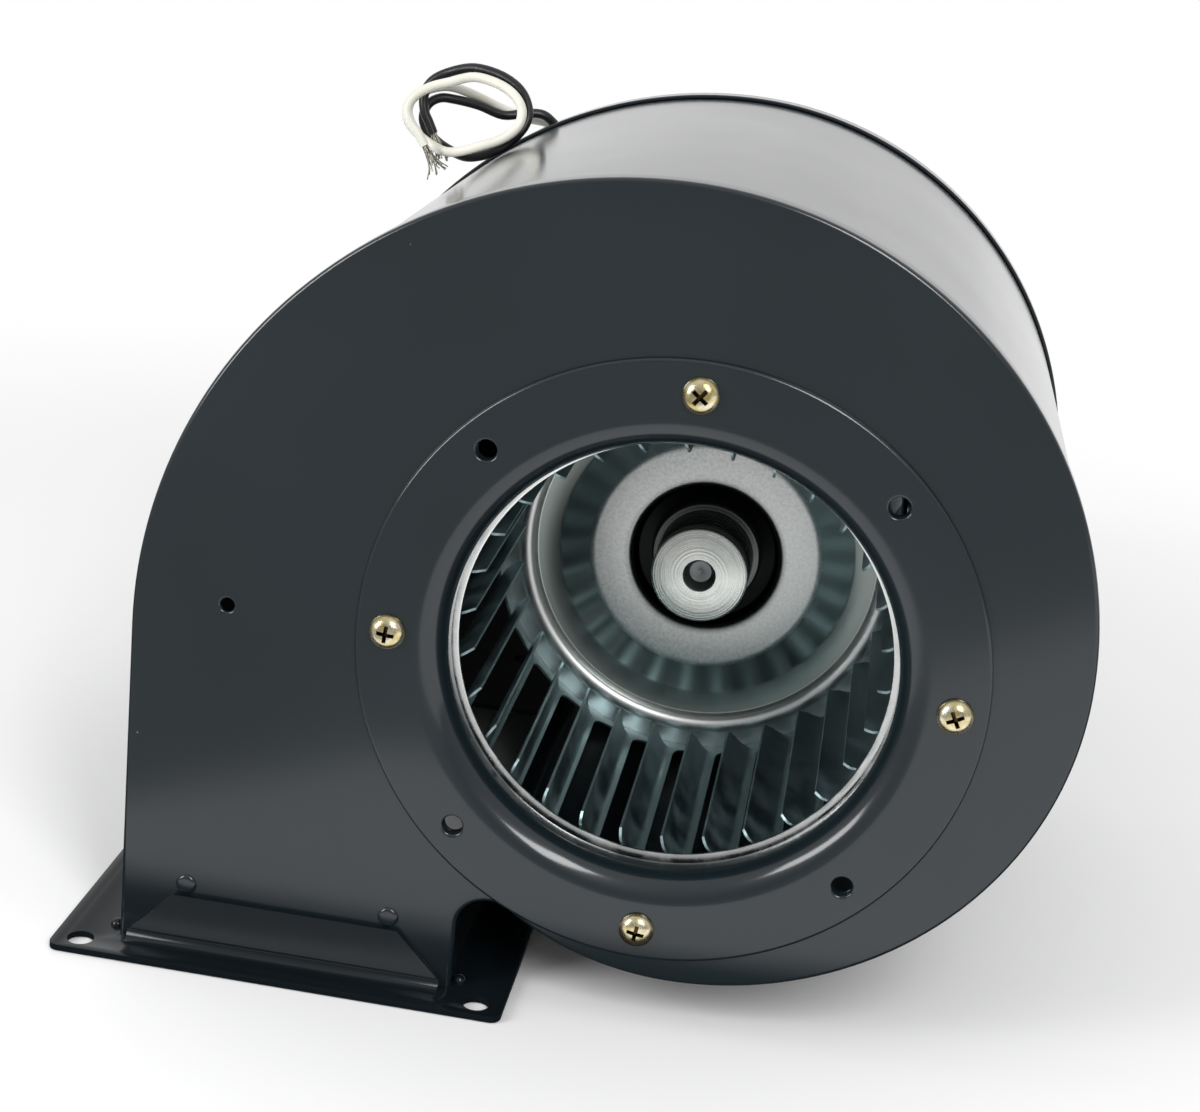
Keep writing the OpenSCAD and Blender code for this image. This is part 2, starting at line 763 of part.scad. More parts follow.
module slot_row() {
    width = 2 * wheel_radius * sin(slot_angle / 2);
    for (k = [0 : blade_count - 1])
        rotate([0, slot_angle / 2 - blade_phase - k * blade_pitch, 0]) rotate([90, 0, 90])
            translate([blade_front, -width / 2, strip_inside - 2 * cut]) linear_extrude(strip + 4 * cut)
                rounded_rectangle([blade_back - blade_front, width], slot_corner);
}

// The wheel's single strip: two rows of louvres punched in and left hanging by their outer edge
module blade_strip() {
    color("#7f8a86") at_axis() {
        difference() {
            bar(wheel_radius, wheel_front + end_ring_sheet, wheel_front + wheel_width - end_ring_sheet);
            bar(strip_inside, wheel_front, wheel_front + wheel_width);
            slot_row();
            on_rear_plate() slot_row();
        }
        blade_row();
        on_rear_plate() blade_row();
    }
}

// Rolled end ring over the front edge of the strip
module wheel_ring() {
    skirt = wheel_radius + seam_gap;
    lathe() {
        translate([end_ring_inner, wheel_front])
            square([skirt + end_ring_sheet - end_ring_inner, end_ring_sheet]);
        translate([skirt, wheel_front]) square([end_ring_sheet, end_ring_skirt]);
    }
}

module front_wheel_ring() {
    color("#a3aaa6") at_axis() wheel_ring();
}

module rear_wheel_ring() {
    color("#a3aaa6") at_axis() on_rear_plate() wheel_ring();
}

// Points along an arc of a section
function arc(centre, radius, from, to, steps) =
    [for (k = [0 : steps]) centre + polar(radius, from + (to - from) * k / steps)];

// Front face of the centre plate as radius and distance in front of the middle plane, from the hub outwards
function plate_face() = concat(
    [[hub_neck + bolt_gap, well_front], [well_radius, well_front]],
    arc([flat_inner, flat_front - well_round], well_round, 180, 90, 6),
    [[flat_outer, flat_front], [crease_radius, crease_front], [ridge_inside, crease_front]],
    arc([ridge_radius, ridge_front - ridge_round], ridge_round, 170, 10, 8),
    [[ridge_outside, rim_front], [rim_radius, rim_front]]
);

// The point behind a point of a face, at the sheet's thickness square to the face there
function behind(face, k, thickness) =
    let (
        along = unit(face[min(k + 1, len(face) - 1)] - face[k == len(face) - 1 ? k - 1 : k]),
        before = k == 0 ? along : unit(face[k] - face[k - 1]),
        mean = unit(along + before)
    )
    face[k] + thickness / (mean * along) * [mean.y, -mean.x];

module centre_plate() {
    face = plate_face();
    back = [for (k = [len(face) - 1 : -1 : 0]) behind(face, k, plate_sheet)];
    color("#949c98") at_axis() lathe()
        polygon([for (p = concat(face, back)) [p.x, wheel_middle - p.y]]);
}

// Turned hub: long nose, collar against the plate, neck through it and swaged rear flange
module wheel_hub() {
    plate_back = hub_seat + plate_sheet + seam_gap;
    color("#aeb3ad") at_axis() difference() {
        union() {
            bar(hub_radius, hub_front, hub_seat);
            bar(hub_collar, hub_seat - collar_length, hub_seat);
            bar(hub_neck, hub_front, plate_back + hub_flange_length);
            bar(hub_flange, plate_back, plate_back + hub_flange_length);
        }
        bar(shaft_radius + seam_gap / 2, hub_front - cut, plate_back + hub_flange_length + cut);
        set_screw_place(shaft_radius) cylinder(r = set_screw_radius + seam_gap, h = hub_radius);
    }
}

// Radial place of the set screw in the hub's nose
module set_screw_place(start) {
    translate([0, hub_front + hub_length / 2, 0]) rotate([0, 90 - set_screw_angle, 0])
        translate([0, 0, start]) children();
}

module hub_set_screw() {
    start = shaft_radius + seam_gap;
    socket = 1.2;
    color("#3d4042") at_axis() set_screw_place(start) difference() {
        cylinder(r = set_screw_radius, h = hub_radius - start - 1);
        translate([0, 0, hub_radius - start - 3]) cylinder(r = socket, h = 3, $fn = 6);
    }
}

module motor_shaft() {
    color("#b7bab9") at_axis() bar(shaft_radius, shaft_front, shaft_rear);
}

module rotor_core() {
    color("#77797a") at_axis() difference() {
        bar(rotor_radius, motor_middle - core_length / 2, motor_middle + core_length / 2);
        bar(shaft_radius + seam_gap / 2, motor_middle - core_length, motor_middle + core_length);
    }
}

// Cast aluminium end rings of the rotor's cage
module rotor_end_rings() {
    color("#c3c6c6") at_axis() for (side = [-1, 1])
        translate([0, motor_middle + side * (core_length + rotor_end_ring) / 2, 0]) difference() {
            bar(end_ring_outer, -rotor_end_ring / 2, rotor_end_ring / 2);
            bar(end_ring_bore, -rotor_end_ring, rotor_end_ring);
        }
}

// Thrust washers on the shaft, beside the bearings' inner ends
module thrust_washers() {
    near = bell_sheet + bearing_length + air_gap;
    color("#c9c2ad") at_axis() for (start = [motor_front + near, motor_rear - near - washer_thickness])
        difference() {
            bar(bearing_outer - 0.6, start, start + washer_thickness);
            bar(shaft_radius + seam_gap / 2, start - cut, start + washer_thickness + cut);
        }
}

front_plate();
rear_plate();
scroll_wrap();
outlet_flange();
flange_rivets();
corner_welds();
front_inlet_ring();
rear_inlet_ring();
front_ring_screws();
rear_ring_screws();
motor_bracket();
bracket_screws();
front_end_bell();
rear_end_bell();
through_bolts();
bolt_nuts();
front_bearing();
rear_bearing();
stator_core();
stator_windings();
lead_grommet();
black_lead();
white_lead();
lead_strands();
blade_strip();
front_wheel_ring();
rear_wheel_ring();
centre_plate();
wheel_hub();
hub_set_screw();
motor_shaft();
rotor_core();
rotor_end_rings();
thrust_washers();
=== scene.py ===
"""Looks of the double-inlet blower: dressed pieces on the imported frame, seen from the photograph's angle."""
import logging
import math
import random
from collections.abc import Iterable, Sequence
from dataclasses import dataclass
from enum import Enum

import bmesh
import bpy
from mathutils import Matrix, Vector


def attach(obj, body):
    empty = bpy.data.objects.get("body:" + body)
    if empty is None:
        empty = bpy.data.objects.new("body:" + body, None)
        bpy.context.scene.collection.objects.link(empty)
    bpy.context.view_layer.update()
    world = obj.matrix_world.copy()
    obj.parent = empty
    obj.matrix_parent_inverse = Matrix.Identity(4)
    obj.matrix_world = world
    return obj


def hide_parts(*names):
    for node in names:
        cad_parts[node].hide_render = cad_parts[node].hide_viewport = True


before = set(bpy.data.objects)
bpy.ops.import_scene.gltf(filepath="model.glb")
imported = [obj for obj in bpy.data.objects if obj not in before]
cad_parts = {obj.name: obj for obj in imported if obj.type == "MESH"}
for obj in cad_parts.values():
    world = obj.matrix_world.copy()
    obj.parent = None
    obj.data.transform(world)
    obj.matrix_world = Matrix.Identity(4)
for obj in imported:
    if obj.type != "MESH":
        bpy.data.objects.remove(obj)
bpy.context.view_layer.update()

Flat = tuple[float, float]
Loop = list[bmesh.types.BMVert]
Mesh = bpy.types.Mesh
Node = bpy.types.Node
Point = tuple[float, float, float]
Tree = bpy.types.NodeTree

LOG = logging.getLogger("blower")
MM = 0.001
# Shaft axis at the front plate's outer face: every hand-made shape is drawn in millimetres from here
AXIS = Vector((82.8, -87.0, 88.5))
TO_METRES = Matrix.Scale(MM, 4)
TO_FRAME = TO_METRES @ Matrix.Translation(AXIS)
# Sizes in millimetres that two or more sub-assemblies share
DEPTH = 174.0
BOLT_CIRCLE = 63.5
TAPPED = 2.3
HUB = 12.2
# Distances under which points become one, in millimetres for drawn shapes and metres for solids and copies
WELD_MM = 1e-4
JOIN = 2e-6
# A face is a plug in a hole when its middle lies within this share of the hole's radius
PLUG_REACH = 0.97
# On a copied solid, faces nearer in slope than the first are joined and edges over the second are broken
FLAT_DEG = 0.8
SHARP_DEG = 38

BLACK_ROUTE = [
    (0, 211, 39), (0, 211, 47), (-2, 210, 54), (-8, 207, 61), (-17, 202, 68), (-28, 195, 75), (-39, 188, 81),
    (-49, 182, 86), (-57, 178, 89), (-63, 176.5, 92), (-67, 174.5, 95), (-72, 173, 95), (-78, 171, 94),
    (-85, 170, 96), (-92, 169, 97), (-96, 168, 97), (-99, 167, 95), (-100, 166, 91.5), (-98.5, 165, 88),
    (-95, 163.5, 85.5), (-91, 161, 84), (-86, 158, 83), (-81, 155, 84), (-75, 151, 87), (-70.5, 150, 91),
    (-68, 151, 95), (-68, 153, 99), (-71, 155, 103.5), (-77, 157, 106.5), (-85, 159, 107.5),
    (-92, 161, 105.5), (-97, 161, 102.5), (-99, 160.5, 98.5), (-98.5, 160, 94), (-97, 160, 91),
    (-95.5, 160, 88),
]
WHITE_ROUTE = [
    (0, 215, 39), (0, 215, 47), (-2, 214, 54), (-8, 211, 61), (-17, 206, 68), (-28, 199, 75), (-39, 192, 81),
    (-49, 186, 86), (-57, 182, 89), (-63, 180, 91.5), (-67, 179, 92.5), (-71.5, 178, 93), (-76, 177, 94),
    (-81.5, 175, 96), (-88, 171, 99), (-93.5, 168, 100.5), (-98.5, 166, 99.5), (-102.5, 164, 97),
    (-104, 162, 93.5), (-103, 161, 90), (-99.5, 160, 87), (-95, 158, 85), (-91, 156, 84), (-86, 153, 85),
    (-79, 149, 88), (-73, 146.5, 91), (-69.5, 147, 94.5), (-69, 149, 98.5), (-71.5, 151, 102),
    (-76.5, 153, 104.5), (-84, 155, 105.5), (-90.5, 154, 103.5), (-96, 153, 101.5), (-100, 152, 98.5),
    (-101.5, 152, 95), (-100.5, 152, 91.5), (-98, 152, 88.5), (-96, 152, 85.5),
]


class Body(Enum):
    """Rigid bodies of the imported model."""

    HOUSING = "housing"
    ROTOR = "rotor"


class Side(Enum):
    """The two ends of the housing along the shaft."""

    FRONT = "front"
    REAR = "rear"


class Pattern(Enum):
    """What the eye sees besides colour; each value names the method of Skin that draws it."""

    PAINT = "paint"
    ROLLED = "rolled"
    PRESSED = "pressed"
    TURNED = "turned"
    PLATED = "plated"
    LAYERED = "layered"
    WOUND = "wound"
    MOULDED = "moulded"


def linear(code: str) -> tuple[float, float, float, float]:
    """Turn an sRGB hex code into a linear colour.

    Args:
        code: colour such as "#2f3538".

    Returns:
        Linear red, green, blue and full alpha.
    """
    parts = [int(code[k:k + 2], 16) / 255 for k in (1, 3, 5)]
    red, green, blue = (v / 12.92 if v <= 0.04045 else ((v + 0.055) / 1.055) ** 2.4 for v in parts)
    return red, green, blue, 1.0


def per(size_mm: float) -> float:
    """Scale of a texture whose features have a real size in millimetres."""
    return 1 / (size_mm * MM)


def fill(node: Node, values: Sequence | dict) -> Node:
    """Fill or link a node's inputs.

    Args:
        node: node to fill.
        values: inputs in order or by name; a constant, a socket, or a node whose first live output is taken.

    Returns:
        The same node.
    """
    for key, value in values.items() if isinstance(values, dict) else enumerate(values):
        if isinstance(value, Node):
            value = next(out for out in value.outputs if out.enabled)
        if isinstance(value, bpy.types.NodeSocket):
            node.id_data.links.new(value, node.inputs[key])
        else:
            node.inputs[key].default_value = value
    return node


def add(tree: Tree, kind: str, values: Sequence | dict = (), **settings: object) -> Node:
    """Add one node with its settings and links.

    Args:
        tree: node tree to add to.
        kind: node type; a bare name is a shader node's.
        values: inputs as fill takes them.
        settings: properties of the node.

    Returns:
        The new node.
    """
    node = tree.nodes.new(kind if "Node" in kind else "ShaderNode" + kind)
    for key, value in settings.items():
        setattr(node, key, value)
    return fill(node, values)


def emptied(owner: bpy.types.Material | bpy.types.World) -> Tree:
    """Switch a material or a world to nodes and clear them.

    Args:
        owner: what the nodes belong to.

    Returns:
        Its empty node tree.
    """
    owner.use_nodes = True
    owner.node_tree.nodes.clear()
    return owner.node_tree


@dataclass(frozen=True)
class Finish:
    """One real material, built once as a procedural node tree."""

    name: str
    slot: str
    colour: str
    second: str
    pattern: Pattern
    rough: float
    metal: float = 0.0
    coat: float = 0.0
    spec: float = 0.5
    grain_mm: float = 2.0
    bump_mm: float = 0.01
    recess: str = ""
    coat_rough: float = 0.14

    def material(self) -> bpy.types.Material:
        """Make the material, or find the one already made.

        Returns:
            The Blender material.
        """
        made = bpy.data.materials.get(self.name)
        if made:
            return made
        made = bpy.data.materials.new(self.name)
        tree = emptied(made)
        shader = add(tree, "BsdfPrincipled", {
            "Base Color": linear(self.colour), "Roughness": self.rough, "Metallic": self.metal,
            "Coat Weight": self.coat, "Coat Roughness": self.coat_rough, "Specular IOR Level": self.spec,
        })
        skin = Skin(self, tree, shader, add(tree, "TexCoord").outputs["Object"])
        getattr(skin, self.pattern.value)()
        add(tree, "OutputMaterial", {"Surface": shader})
        return made


@dataclass
class Skin:
    """Node tree of one finish under construction, with a method for each pattern.

    A noise mostly stays between 0.3 and 0.75, so the ranges that read one start and end about there.
    """

    finish: Finish
    tree: Tree
    shader: Node
    place: bpy.types.NodeSocket
    # Dust and smudge that lie on a surface; painted highlight on the ridge; painted shade on outer flat, well
    # and hub barrel
    dust: str = "#a9adab"
    smudge: str = "#b6bcb9"
    ridge_highlight: str = "#f8f9f7"
    outer_flat_shade: str = "#4a524f"
    well_shade: str = "#1a1d1c"
    barrel_shade: str = "#2b2e2d"

    def radius(self) -> Node:
        """Distance from the shaft axis.

        Returns:
            The node that gives it, in millimetres.
        """
        off = add(self.tree, "VectorMath", [self.place, (AXIS.x * MM, 0, AXIS.z * MM)], operation="SUBTRACT")
        across = add(self.tree, "VectorMath", [off, (1 / MM, 0, 1 / MM)], operation="MULTIPLY")
        return add(self.tree, "VectorMath", [across], operation="LENGTH")

    def drift(self, size_mm: float, detail: float = 2.0, full: float = 0.65) -> tuple[Node, Node]:
        """Tone that drifts in patches between the finish's two colours.

        Args:
            size_mm: size of a patch.
            detail: how ragged the patches are.
            full: noise at which the second colour is reached.

        Returns:
            The patches from 0 to 1, and the tone.
        """
        noise = add(self.tree, "TexNoise", {"Vector": self.place, "Scale": per(size_mm), "Detail": detail})
        cloud = add(self.tree, "MapRange", [noise, 0.35, full])
        ends = {0: cloud, 6: linear(self.finish.colour), 7: linear(self.finish.second)}
        return cloud, add(self.tree, "Mix", ends, data_type="RGBA")

    def cover(self, tone: Node, rough: Node | float, height: Node, strength: float = 1.0) -> None:
        """Put a pattern's colour, roughness and relief on the shader.

        Args:
            tone: colour.
            rough: roughness.
            height: relief, where 1 is the finish's own depth.
            strength: share of the relief that shows.
        """
        depth = self.finish.bump_mm * MM
        relief = add(self.tree, "Bump", {"Height": height, "Strength": strength, "Distance": depth})
        fill(self.shader, {"Base Color": tone, "Roughness": rough, "Normal": relief})
        if self.finish.coat:
            fill(self.shader, {"Coat Normal": relief})

    def paint(self) -> None:
        """Sprayed enamel: glossy coat with orange peel, slight drift of tone and stray specks of dust."""
        tree, place, rough = self.tree, self.place, self.finish.rough
        tone = self.drift(70)[1]
        # Specks 0.4 mm wide in about a quarter of all cells
        cells = add(tree, "TexVoronoi", {"Vector": place, "Scale": per(9)})
        near = add(tree, "Math", [cells, 0.022], operation="LESS_THAN")
        pick = add(tree, "SeparateColor", [cells.outputs["Color"]])
        chosen = add(tree, "Math", [pick, 0.72], operation="GREATER_THAN")
        speck = add(tree, "Math", [near, chosen], operation="MULTIPLY")
        share = add(tree, "Math", [speck, 0.45], operation="MULTIPLY")
        dusty = add(tree, "Mix", {0: share, 6: tone, 7: linear(self.dust)}, data_type="RGBA")
        wear = add(tree, "TexNoise", {"Vector": place, "Scale": per(26), "Detail": 4.0})
        rubbed = add(tree, "MapRange", [wear, 0.3, 0.75, rough, rough + 0.1])
        peel = add(tree, "TexNoise", {"Vector": place, "Scale": per(self.finish.grain_mm)})
        self.cover(dusty, rubbed, add(tree, "Math", [speck, 3.0, peel], operation="MULTIPLY_ADD"))

    def rolled(self) -> None:
        """Rolled and plated sheet: cloudy patches and faint streaks along the shaft."""
        tree, rough = self.tree, self.finish.rough
        cloud, tone = self.drift(self.finish.grain_mm, 3.0, 0.68)
        drawn = add(tree, "Mapping", {"Vector": self.place, "Scale": (1.0, 0.05, 1.0)})
        streak = add(tree, "TexNoise", {"Vector": drawn, "Scale": per(0.7)})
        faint = add(tree, "Math", [streak, 0.4], operation="MULTIPLY")
        both = add(tree, "Math", [cloud, 0.6, faint], operation="MULTIPLY_ADD")
        self.cover(tone, add(tree, "MapRange", [both, 0.2, 0.8, rough - 0.08, rough + 0.14]), both, 0.5)

    def pressed(self) -> None:
        """Pressed dish by radius: mottled flat, smoother cone, painted highlight on the ridge, painted shade
        on well and outer flat.
        """
        tree = self.tree
        radius = self.radius()
        # Radii in millimetres from where each zone starts to where it is full
        zone = {name: add(tree, "MapRange", [radius, *span]) for name, span in {
            "flat_from": (19.0, 20.5), "flat_to": (30.2, 29.0), "outer_from": (37.8, 38.6),
            "outer_to": (44.3, 43.9), "ridge": (43.9, 44.5), "well": (21.2, 18.4)}.items()}
        flat = add(tree, "Math", [zone["flat_from"], zone["flat_to"]], operation="MULTIPLY")
        outer = add(tree, "Math", [zone["outer_from"], zone["outer_to"]], operation="MULTIPLY")
        spots = {"Vector": self.place, "Scale": per(self.finish.grain_mm), "Detail": 5.0}
        cloud = add(tree, "TexNoise", spots)
        mottle = add(tree, "MapRange", [cloud, 0.3, 0.7, 0.3, 1.0])
        worn = add(tree, "Mix", {0: mottle, 6: linear(self.smudge), 7: linear(self.finish.second)},
                   data_type="RGBA")
        tone = add(tree, "Mix", {0: flat, 6: linear(self.finish.colour), 7: worn}, data_type="RGBA")
        # Painted shade on the outer flat and in the well, and a painted highlight on the ridge
        outer_flat_shade = add(tree, "Math", [outer, 0.6], operation="MULTIPLY")
        for share, code in ((zone["ridge"], self.ridge_highlight), (outer_flat_shade, self.outer_flat_shade), (zone["well"], self.well_shade)):
            tone = add(tree, "Mix", {0: share, 6: tone, 7: linear(code)}, data_type="RGBA")
        on_flat = add(tree, "Math", [flat, 0.1], operation="MULTIPLY")
        on_ridge = add(tree, "Math", [zone["ridge"], 0.16], operation="MULTIPLY")
        dull = add(tree, "Math", [on_flat, on_ridge], operation="MAXIMUM")
        matte = add(tree, "Math", [dull, self.finish.rough], operation="ADD")
        grit = add(tree, "MapRange", [cloud, 0.3, 0.7, -0.03, 0.05])
        rough = add(tree, "Math", [grit, flat, matte], operation="MULTIPLY_ADD")
        waves = add(tree, "Math", [radius, 1.2], operation="MULTIPLY")
        ring = add(tree, "TexNoise", {"W": waves, "Scale": 1.0}, noise_dimensions="1D")
        self.cover(tone, rough, ring, 0.5)

    def turned(self) -> None:
        """Lathe-turned face: concentric rings of uneven depth, with painted shade towards the hub's barrel."""
        tree, rough = self.tree, self.finish.rough
        radius = self.radius()
        feed = add(tree, "Math", [radius, self.finish.grain_mm], operation="DIVIDE")
        ring = add(tree, "TexNoise", {"W": feed, "Scale": 1.0, "Detail": 3.0}, noise_dimensions="1D")
        cloud = add(tree, "TexNoise", {"Vector": self.place, "Scale": per(6), "Detail": 3.0})
        both = add(tree, "Math", [cloud, 0.5, ring], operation="MULTIPLY_ADD")
        share = add(tree, "MapRange", [both, 0.5, 1.0])
        tone = add(tree, "Mix", {0: share, 6: linear(self.finish.colour), 7: linear(self.finish.second)},
                   data_type="RGBA")
        # Painted shade on the hub's barrel and the outer rim of its face
        edge = add(tree, "MapRange", [radius, HUB - 0.35, HUB - 0.05, 0.0, 0.85])
        barrel_shaded = add(tree, "Mix", {0: edge, 6: tone, 7: linear(self.barrel_shade)}, data_type="RGBA")
        self.cover(barrel_shaded, add(tree, "MapRange", [ring, 0.2, 0.8, rough - 0.08, rough + 0.12]), ring)

    def plated(self) -> None:
        """Small plated hardware: cloudy tint, fine pits, and painted shade where the piece has a marked
        recess.
        """
        tree, rough = self.tree, self.finish.rough
        tone = self.drift(self.finish.grain_mm, 3.0)[1]
        if self.finish.recess:
            # Painted shade in the cross recess, darkest where it is deepest
            under = add(tree, "Attribute", attribute_name="recess").outputs["Fac"]
            depth = add(tree, "MapRange", [under, 0.04, 0.45])
            tone = add(tree, "Mix", {0: depth, 6: tone, 7: linear(self.finish.recess)}, data_type="RGBA")
        pits = add(tree, "TexNoise", {"Vector": self.place, "Scale": per(self.finish.grain_mm / 6)})
        self.cover(tone, add(tree, "MapRange", [pits, 0.3, 0.75, rough - 0.06, rough + 0.12]), pits, 0.6)

    def layered(self) -> None:
        """Stacked laminations: thin lines across the shaft axis."""
        tree, sheet = self.tree, self.finish.grain_mm * MM
        along = add(tree, "SeparateXYZ", [self.place]).outputs[1]
        share = add(tree, "MapRange", [add(tree, "Math", [along, sheet], operation="PINGPONG"), 0.0, sheet])
        tone = add(tree, "Mix", {0: share, 6: linear(self.finish.colour), 7: linear(self.finish.second)},
                   data_type="RGBA")
        self.cover(tone, self.finish.rough, share)

    def wound(self) -> None:
        """Varnished wire: close parallel strands, each a little different."""
        # A diagonal wave of scale 0.31 has about one band in each unit of length
        inputs = {"Vector": self.place, "Scale": 0.31 * per(self.finish.grain_mm), "Distortion": 0.6}
        wave = add(self.tree, "TexWave", inputs, bands_direction="DIAGONAL").outputs["Fac"]
        tone = add(self.tree, "Mix", {0: wave, 6: linear(self.finish.second), 7: linear(self.finish.colour)},
                   data_type="RGBA")
        self.cover(tone, self.finish.rough, wave)

    def moulded(self) -> None:
        """Moulded rubber or plastic: slight drift of tone and a fine grain that breaks the sheen."""
        rough = self.finish.rough
        tone = self.drift(12)[1]
        grain = add(self.tree, "TexNoise", {"Vector": self.place, "Scale": per(self.finish.grain_mm)})
        self.cover(tone, add(self.tree, "MapRange", [grain, 0.3, 0.7, rough - 0.05, rough + 0.1]), grain)


# Charcoal gloss enamel: dark blue-grey with a deep clear reflection
ENAMEL = Finish("charcoal_enamel", "enamel", "#111a1f", "#141e23", Pattern.PAINT, 0.32, coat=1.0, spec=0.15,
                grain_mm=2.6, bump_mm=0.004)
# The same enamel on the thicker flange, with painted shade: a little darker
SHADED_FLANGE_ENAMEL = Finish("flange_enamel_painted_shade", "flange_enamel", "#0e1519", "#11181d", Pattern.PAINT, 0.3,
                       coat=0.6, spec=0.05, grain_mm=2.6, bump_mm=0.004)
# Zinc-plated strip of the blades: cool, bluish, half bright
BLADE_ZINC = Finish("blade_zinc", "wheel_zinc", "#879ca0", "#9bb1b5", Pattern.ROLLED, 0.42, 1.0,
                    grain_mm=9.0, bump_mm=0.003)
# Pressed zinc-plated plate: pale mottled flat, smoother cone that mirrors the blades
PLATE_ZINC = Finish("pressed_zinc", "wheel_zinc", "#ccd5d1", "#eceeec", Pattern.PRESSED, 0.26, 1.0,
                    grain_mm=0.8, bump_mm=0.008)
# Rolled zinc-plated edge of the wheel's end rings: bright and smooth
RING_ZINC = Finish("ring_zinc", "wheel_zinc", "#dfe3e1", "#eff1f0", Pattern.ROLLED, 0.26, 1.0,
                   grain_mm=6.0, bump_mm=0.0006)
# Turned steel hub: bright, faintly warm rings; the real feed of about 0.15 mm is drawn coarser to show
HUB_STEEL = Finish("turned_steel", "turned_hub", "#c6cecb", "#f8f8f2", Pattern.TURNED, 0.25, 1.0,
                   grain_mm=0.45, bump_mm=0.045)
# Ground steel shaft: darker than the hub, with grinding rings drawn coarser than the real ones
SHAFT_STEEL = Finish("ground_shaft_steel", "ground_steel", "#7a7e7f", "#8f9394", Pattern.TURNED, 0.4, 1.0,
                     grain_mm=0.5, bump_mm=0.01)
# Yellow chromate on zinc: pale gold with cloudy patches; brown painted shade in the cross recesses
YELLOW_ZINC = Finish("yellow_chromate", "yellow_zinc", "#c8b77c", "#e8e0c6", Pattern.PLATED, 0.22, 1.0,
                     grain_mm=2.4, recess="#4a3820")
# Bright zinc on bolts and nuts: silvery and a little cloudy
BRIGHT_ZINC = Finish("bright_zinc_plate", "bright_zinc", "#b4b8ba", "#cfd2d2", Pattern.PLATED, 0.28, 1.0)
# Drawn and plated motor shell: satin grey with soft mottling
SHELL_ZINC = Finish("shell_zinc", "motor_shell", "#a0a6a7", "#b2b7b7", Pattern.ROLLED, 0.4, 1.0,
                    grain_mm=16.0, bump_mm=0.002)
# Oil-soaked sintered bronze: brown, with dull pores
BRONZE = Finish("sintered_bronze", "bronze", "#8a6233", "#a97f48", Pattern.PLATED, 0.42, 1.0,
                grain_mm=1.2, bump_mm=0.03)
# Bare stacked steel sheets: dark grey with lines half a millimetre apart
LAMINATION = Finish("lamination_steel", "lamination", "#55585a", "#7d8081", Pattern.LAYERED, 0.45, 1.0,
                    grain_mm=0.5, bump_mm=0.06)
# Varnished copper wire: orange-brown turns with a wet shine
COPPER = Finish("varnished_copper", "copper", "#b5652e", "#6d3616", Pattern.WOUND, 0.3, 0.9,
                grain_mm=0.6, bump_mm=0.15)
# Moulded rubber bush: soft matte black
RUBBER = Finish("black_rubber", "rubber", "#161718", "#1e1f20", Pattern.MOULDED, 0.6,
                grain_mm=0.4, bump_mm=0.02)
# Black PVC insulation: deep black with a soft sheen
BLACK_PVC = Finish("black_insulation", "black_pvc", "#101113", "#17181a", Pattern.MOULDED, 0.34, grain_mm=0.8)
# White PVC insulation: off-white, slightly yellow
WHITE_PVC = Finish("white_insulation", "white_pvc", "#e4e2d4", "#f0eee4", Pattern.MOULDED, 0.38, grain_mm=0.8)
# Tinned copper strands: dull grey with a warm tinge
TINNED = Finish("tinned_strand", "tinned_copper", "#8b8a80", "#b5b3a4", Pattern.PLATED, 0.36, 1.0,
                grain_mm=0.8)
# Black oxide on steel: nearly black, with a low gloss
BLACK_STEEL = Finish("black_oxide", "black_steel", "#26282a", "#34373a", Pattern.PLATED, 0.4, 0.9,
                     grain_mm=1.0)
# Cast aluminium cage of the rotor: pale grey and pitted
CAST_ALUMINIUM = Finish("cast_cage_aluminium", "cast_aluminium", "#b3b6b6", "#cfd1d1", Pattern.PLATED, 0.42,
                        1.0, grain_mm=1.4, bump_mm=0.04)
# Natural nylon washers: creamy and waxy
NYLON = Finish("natural_nylon", "nylon", "#cdc4ab", "#d8d1bc", Pattern.MOULDED, 0.5, grain_mm=0.6)


def placed(name: str, data: bpy.types.ID) -> bpy.types.Object:
    """Put a new object into the scene.

    Args:
        name: object name.
        data: its mesh, camera or light.

    Returns:
        The new object.
    """
    made = bpy.data.objects.new(name, data)
    bpy.context.scene.collection.objects.link(made)
    return made


def show(name: str, mesh: Mesh, finish: Finish, body: Body, node: str,
         smooth_deg: float = 32) -> bpy.types.Object:
    """Turn a mesh into a dressed piece that rides on a body and stands for a CAD node.

    Args:
        name: piece name.
        mesh: mesh in the frame, in metres.
        finish: its real material.
        body: body it rides on.
        node: CAD node that it replaces.
        smooth_deg: edges sharper than this stay crisp.

    Returns:
        The new object.
    """
    mesh.name = name
    mesh.materials.clear()
    mesh.materials.append(finish.material())
    mesh.shade_smooth()
    mesh.set_sharp_from_angle(angle=math.radians(smooth_deg))
    piece = placed(name, mesh)
    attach(piece, body.value)
    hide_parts(node)
    LOG.info("%s: %d faces", name, len(mesh.polygons))
    return piece


def turns(sides: int) -> list[float]:
    """Even angles once round, in radians."""
    return [2 * math.pi * k / sides for k in range(sides)]


def spot(radius: float, turn: float, y: float, centre: Flat = (0.0, 0.0)) -> Point:
    """A point at an angle in radians round an axis along the shaft."""
    return centre[0] + radius * math.cos(turn), y, centre[1] + radius * math.sin(turn)


def polar(radius: float, degrees: float) -> Vector:
    """A point of the front view by radius and angle."""
    return Vector((radius * math.cos(math.radians(degrees)), radius * math.sin(math.radians(degrees))))


def bolt_places() -> list[Vector]:
    """Front view of an inlet ring's four tapped holes, midway between its screws."""
    return [polar(BOLT_CIRCLE, 45 + 90 * k) for k in range(4)]


def arc(centre: Flat, radius: float, start: float, end: float, steps: int) -> list[Flat]:
    """Points along an arc, angles in degrees."""
    angles = [math.radians(start + (end - start) * k / steps) for k in range(steps + 1)]
    return [(centre[0] + radius * math.cos(t), centre[1] + radius * math.sin(t)) for t in angles]


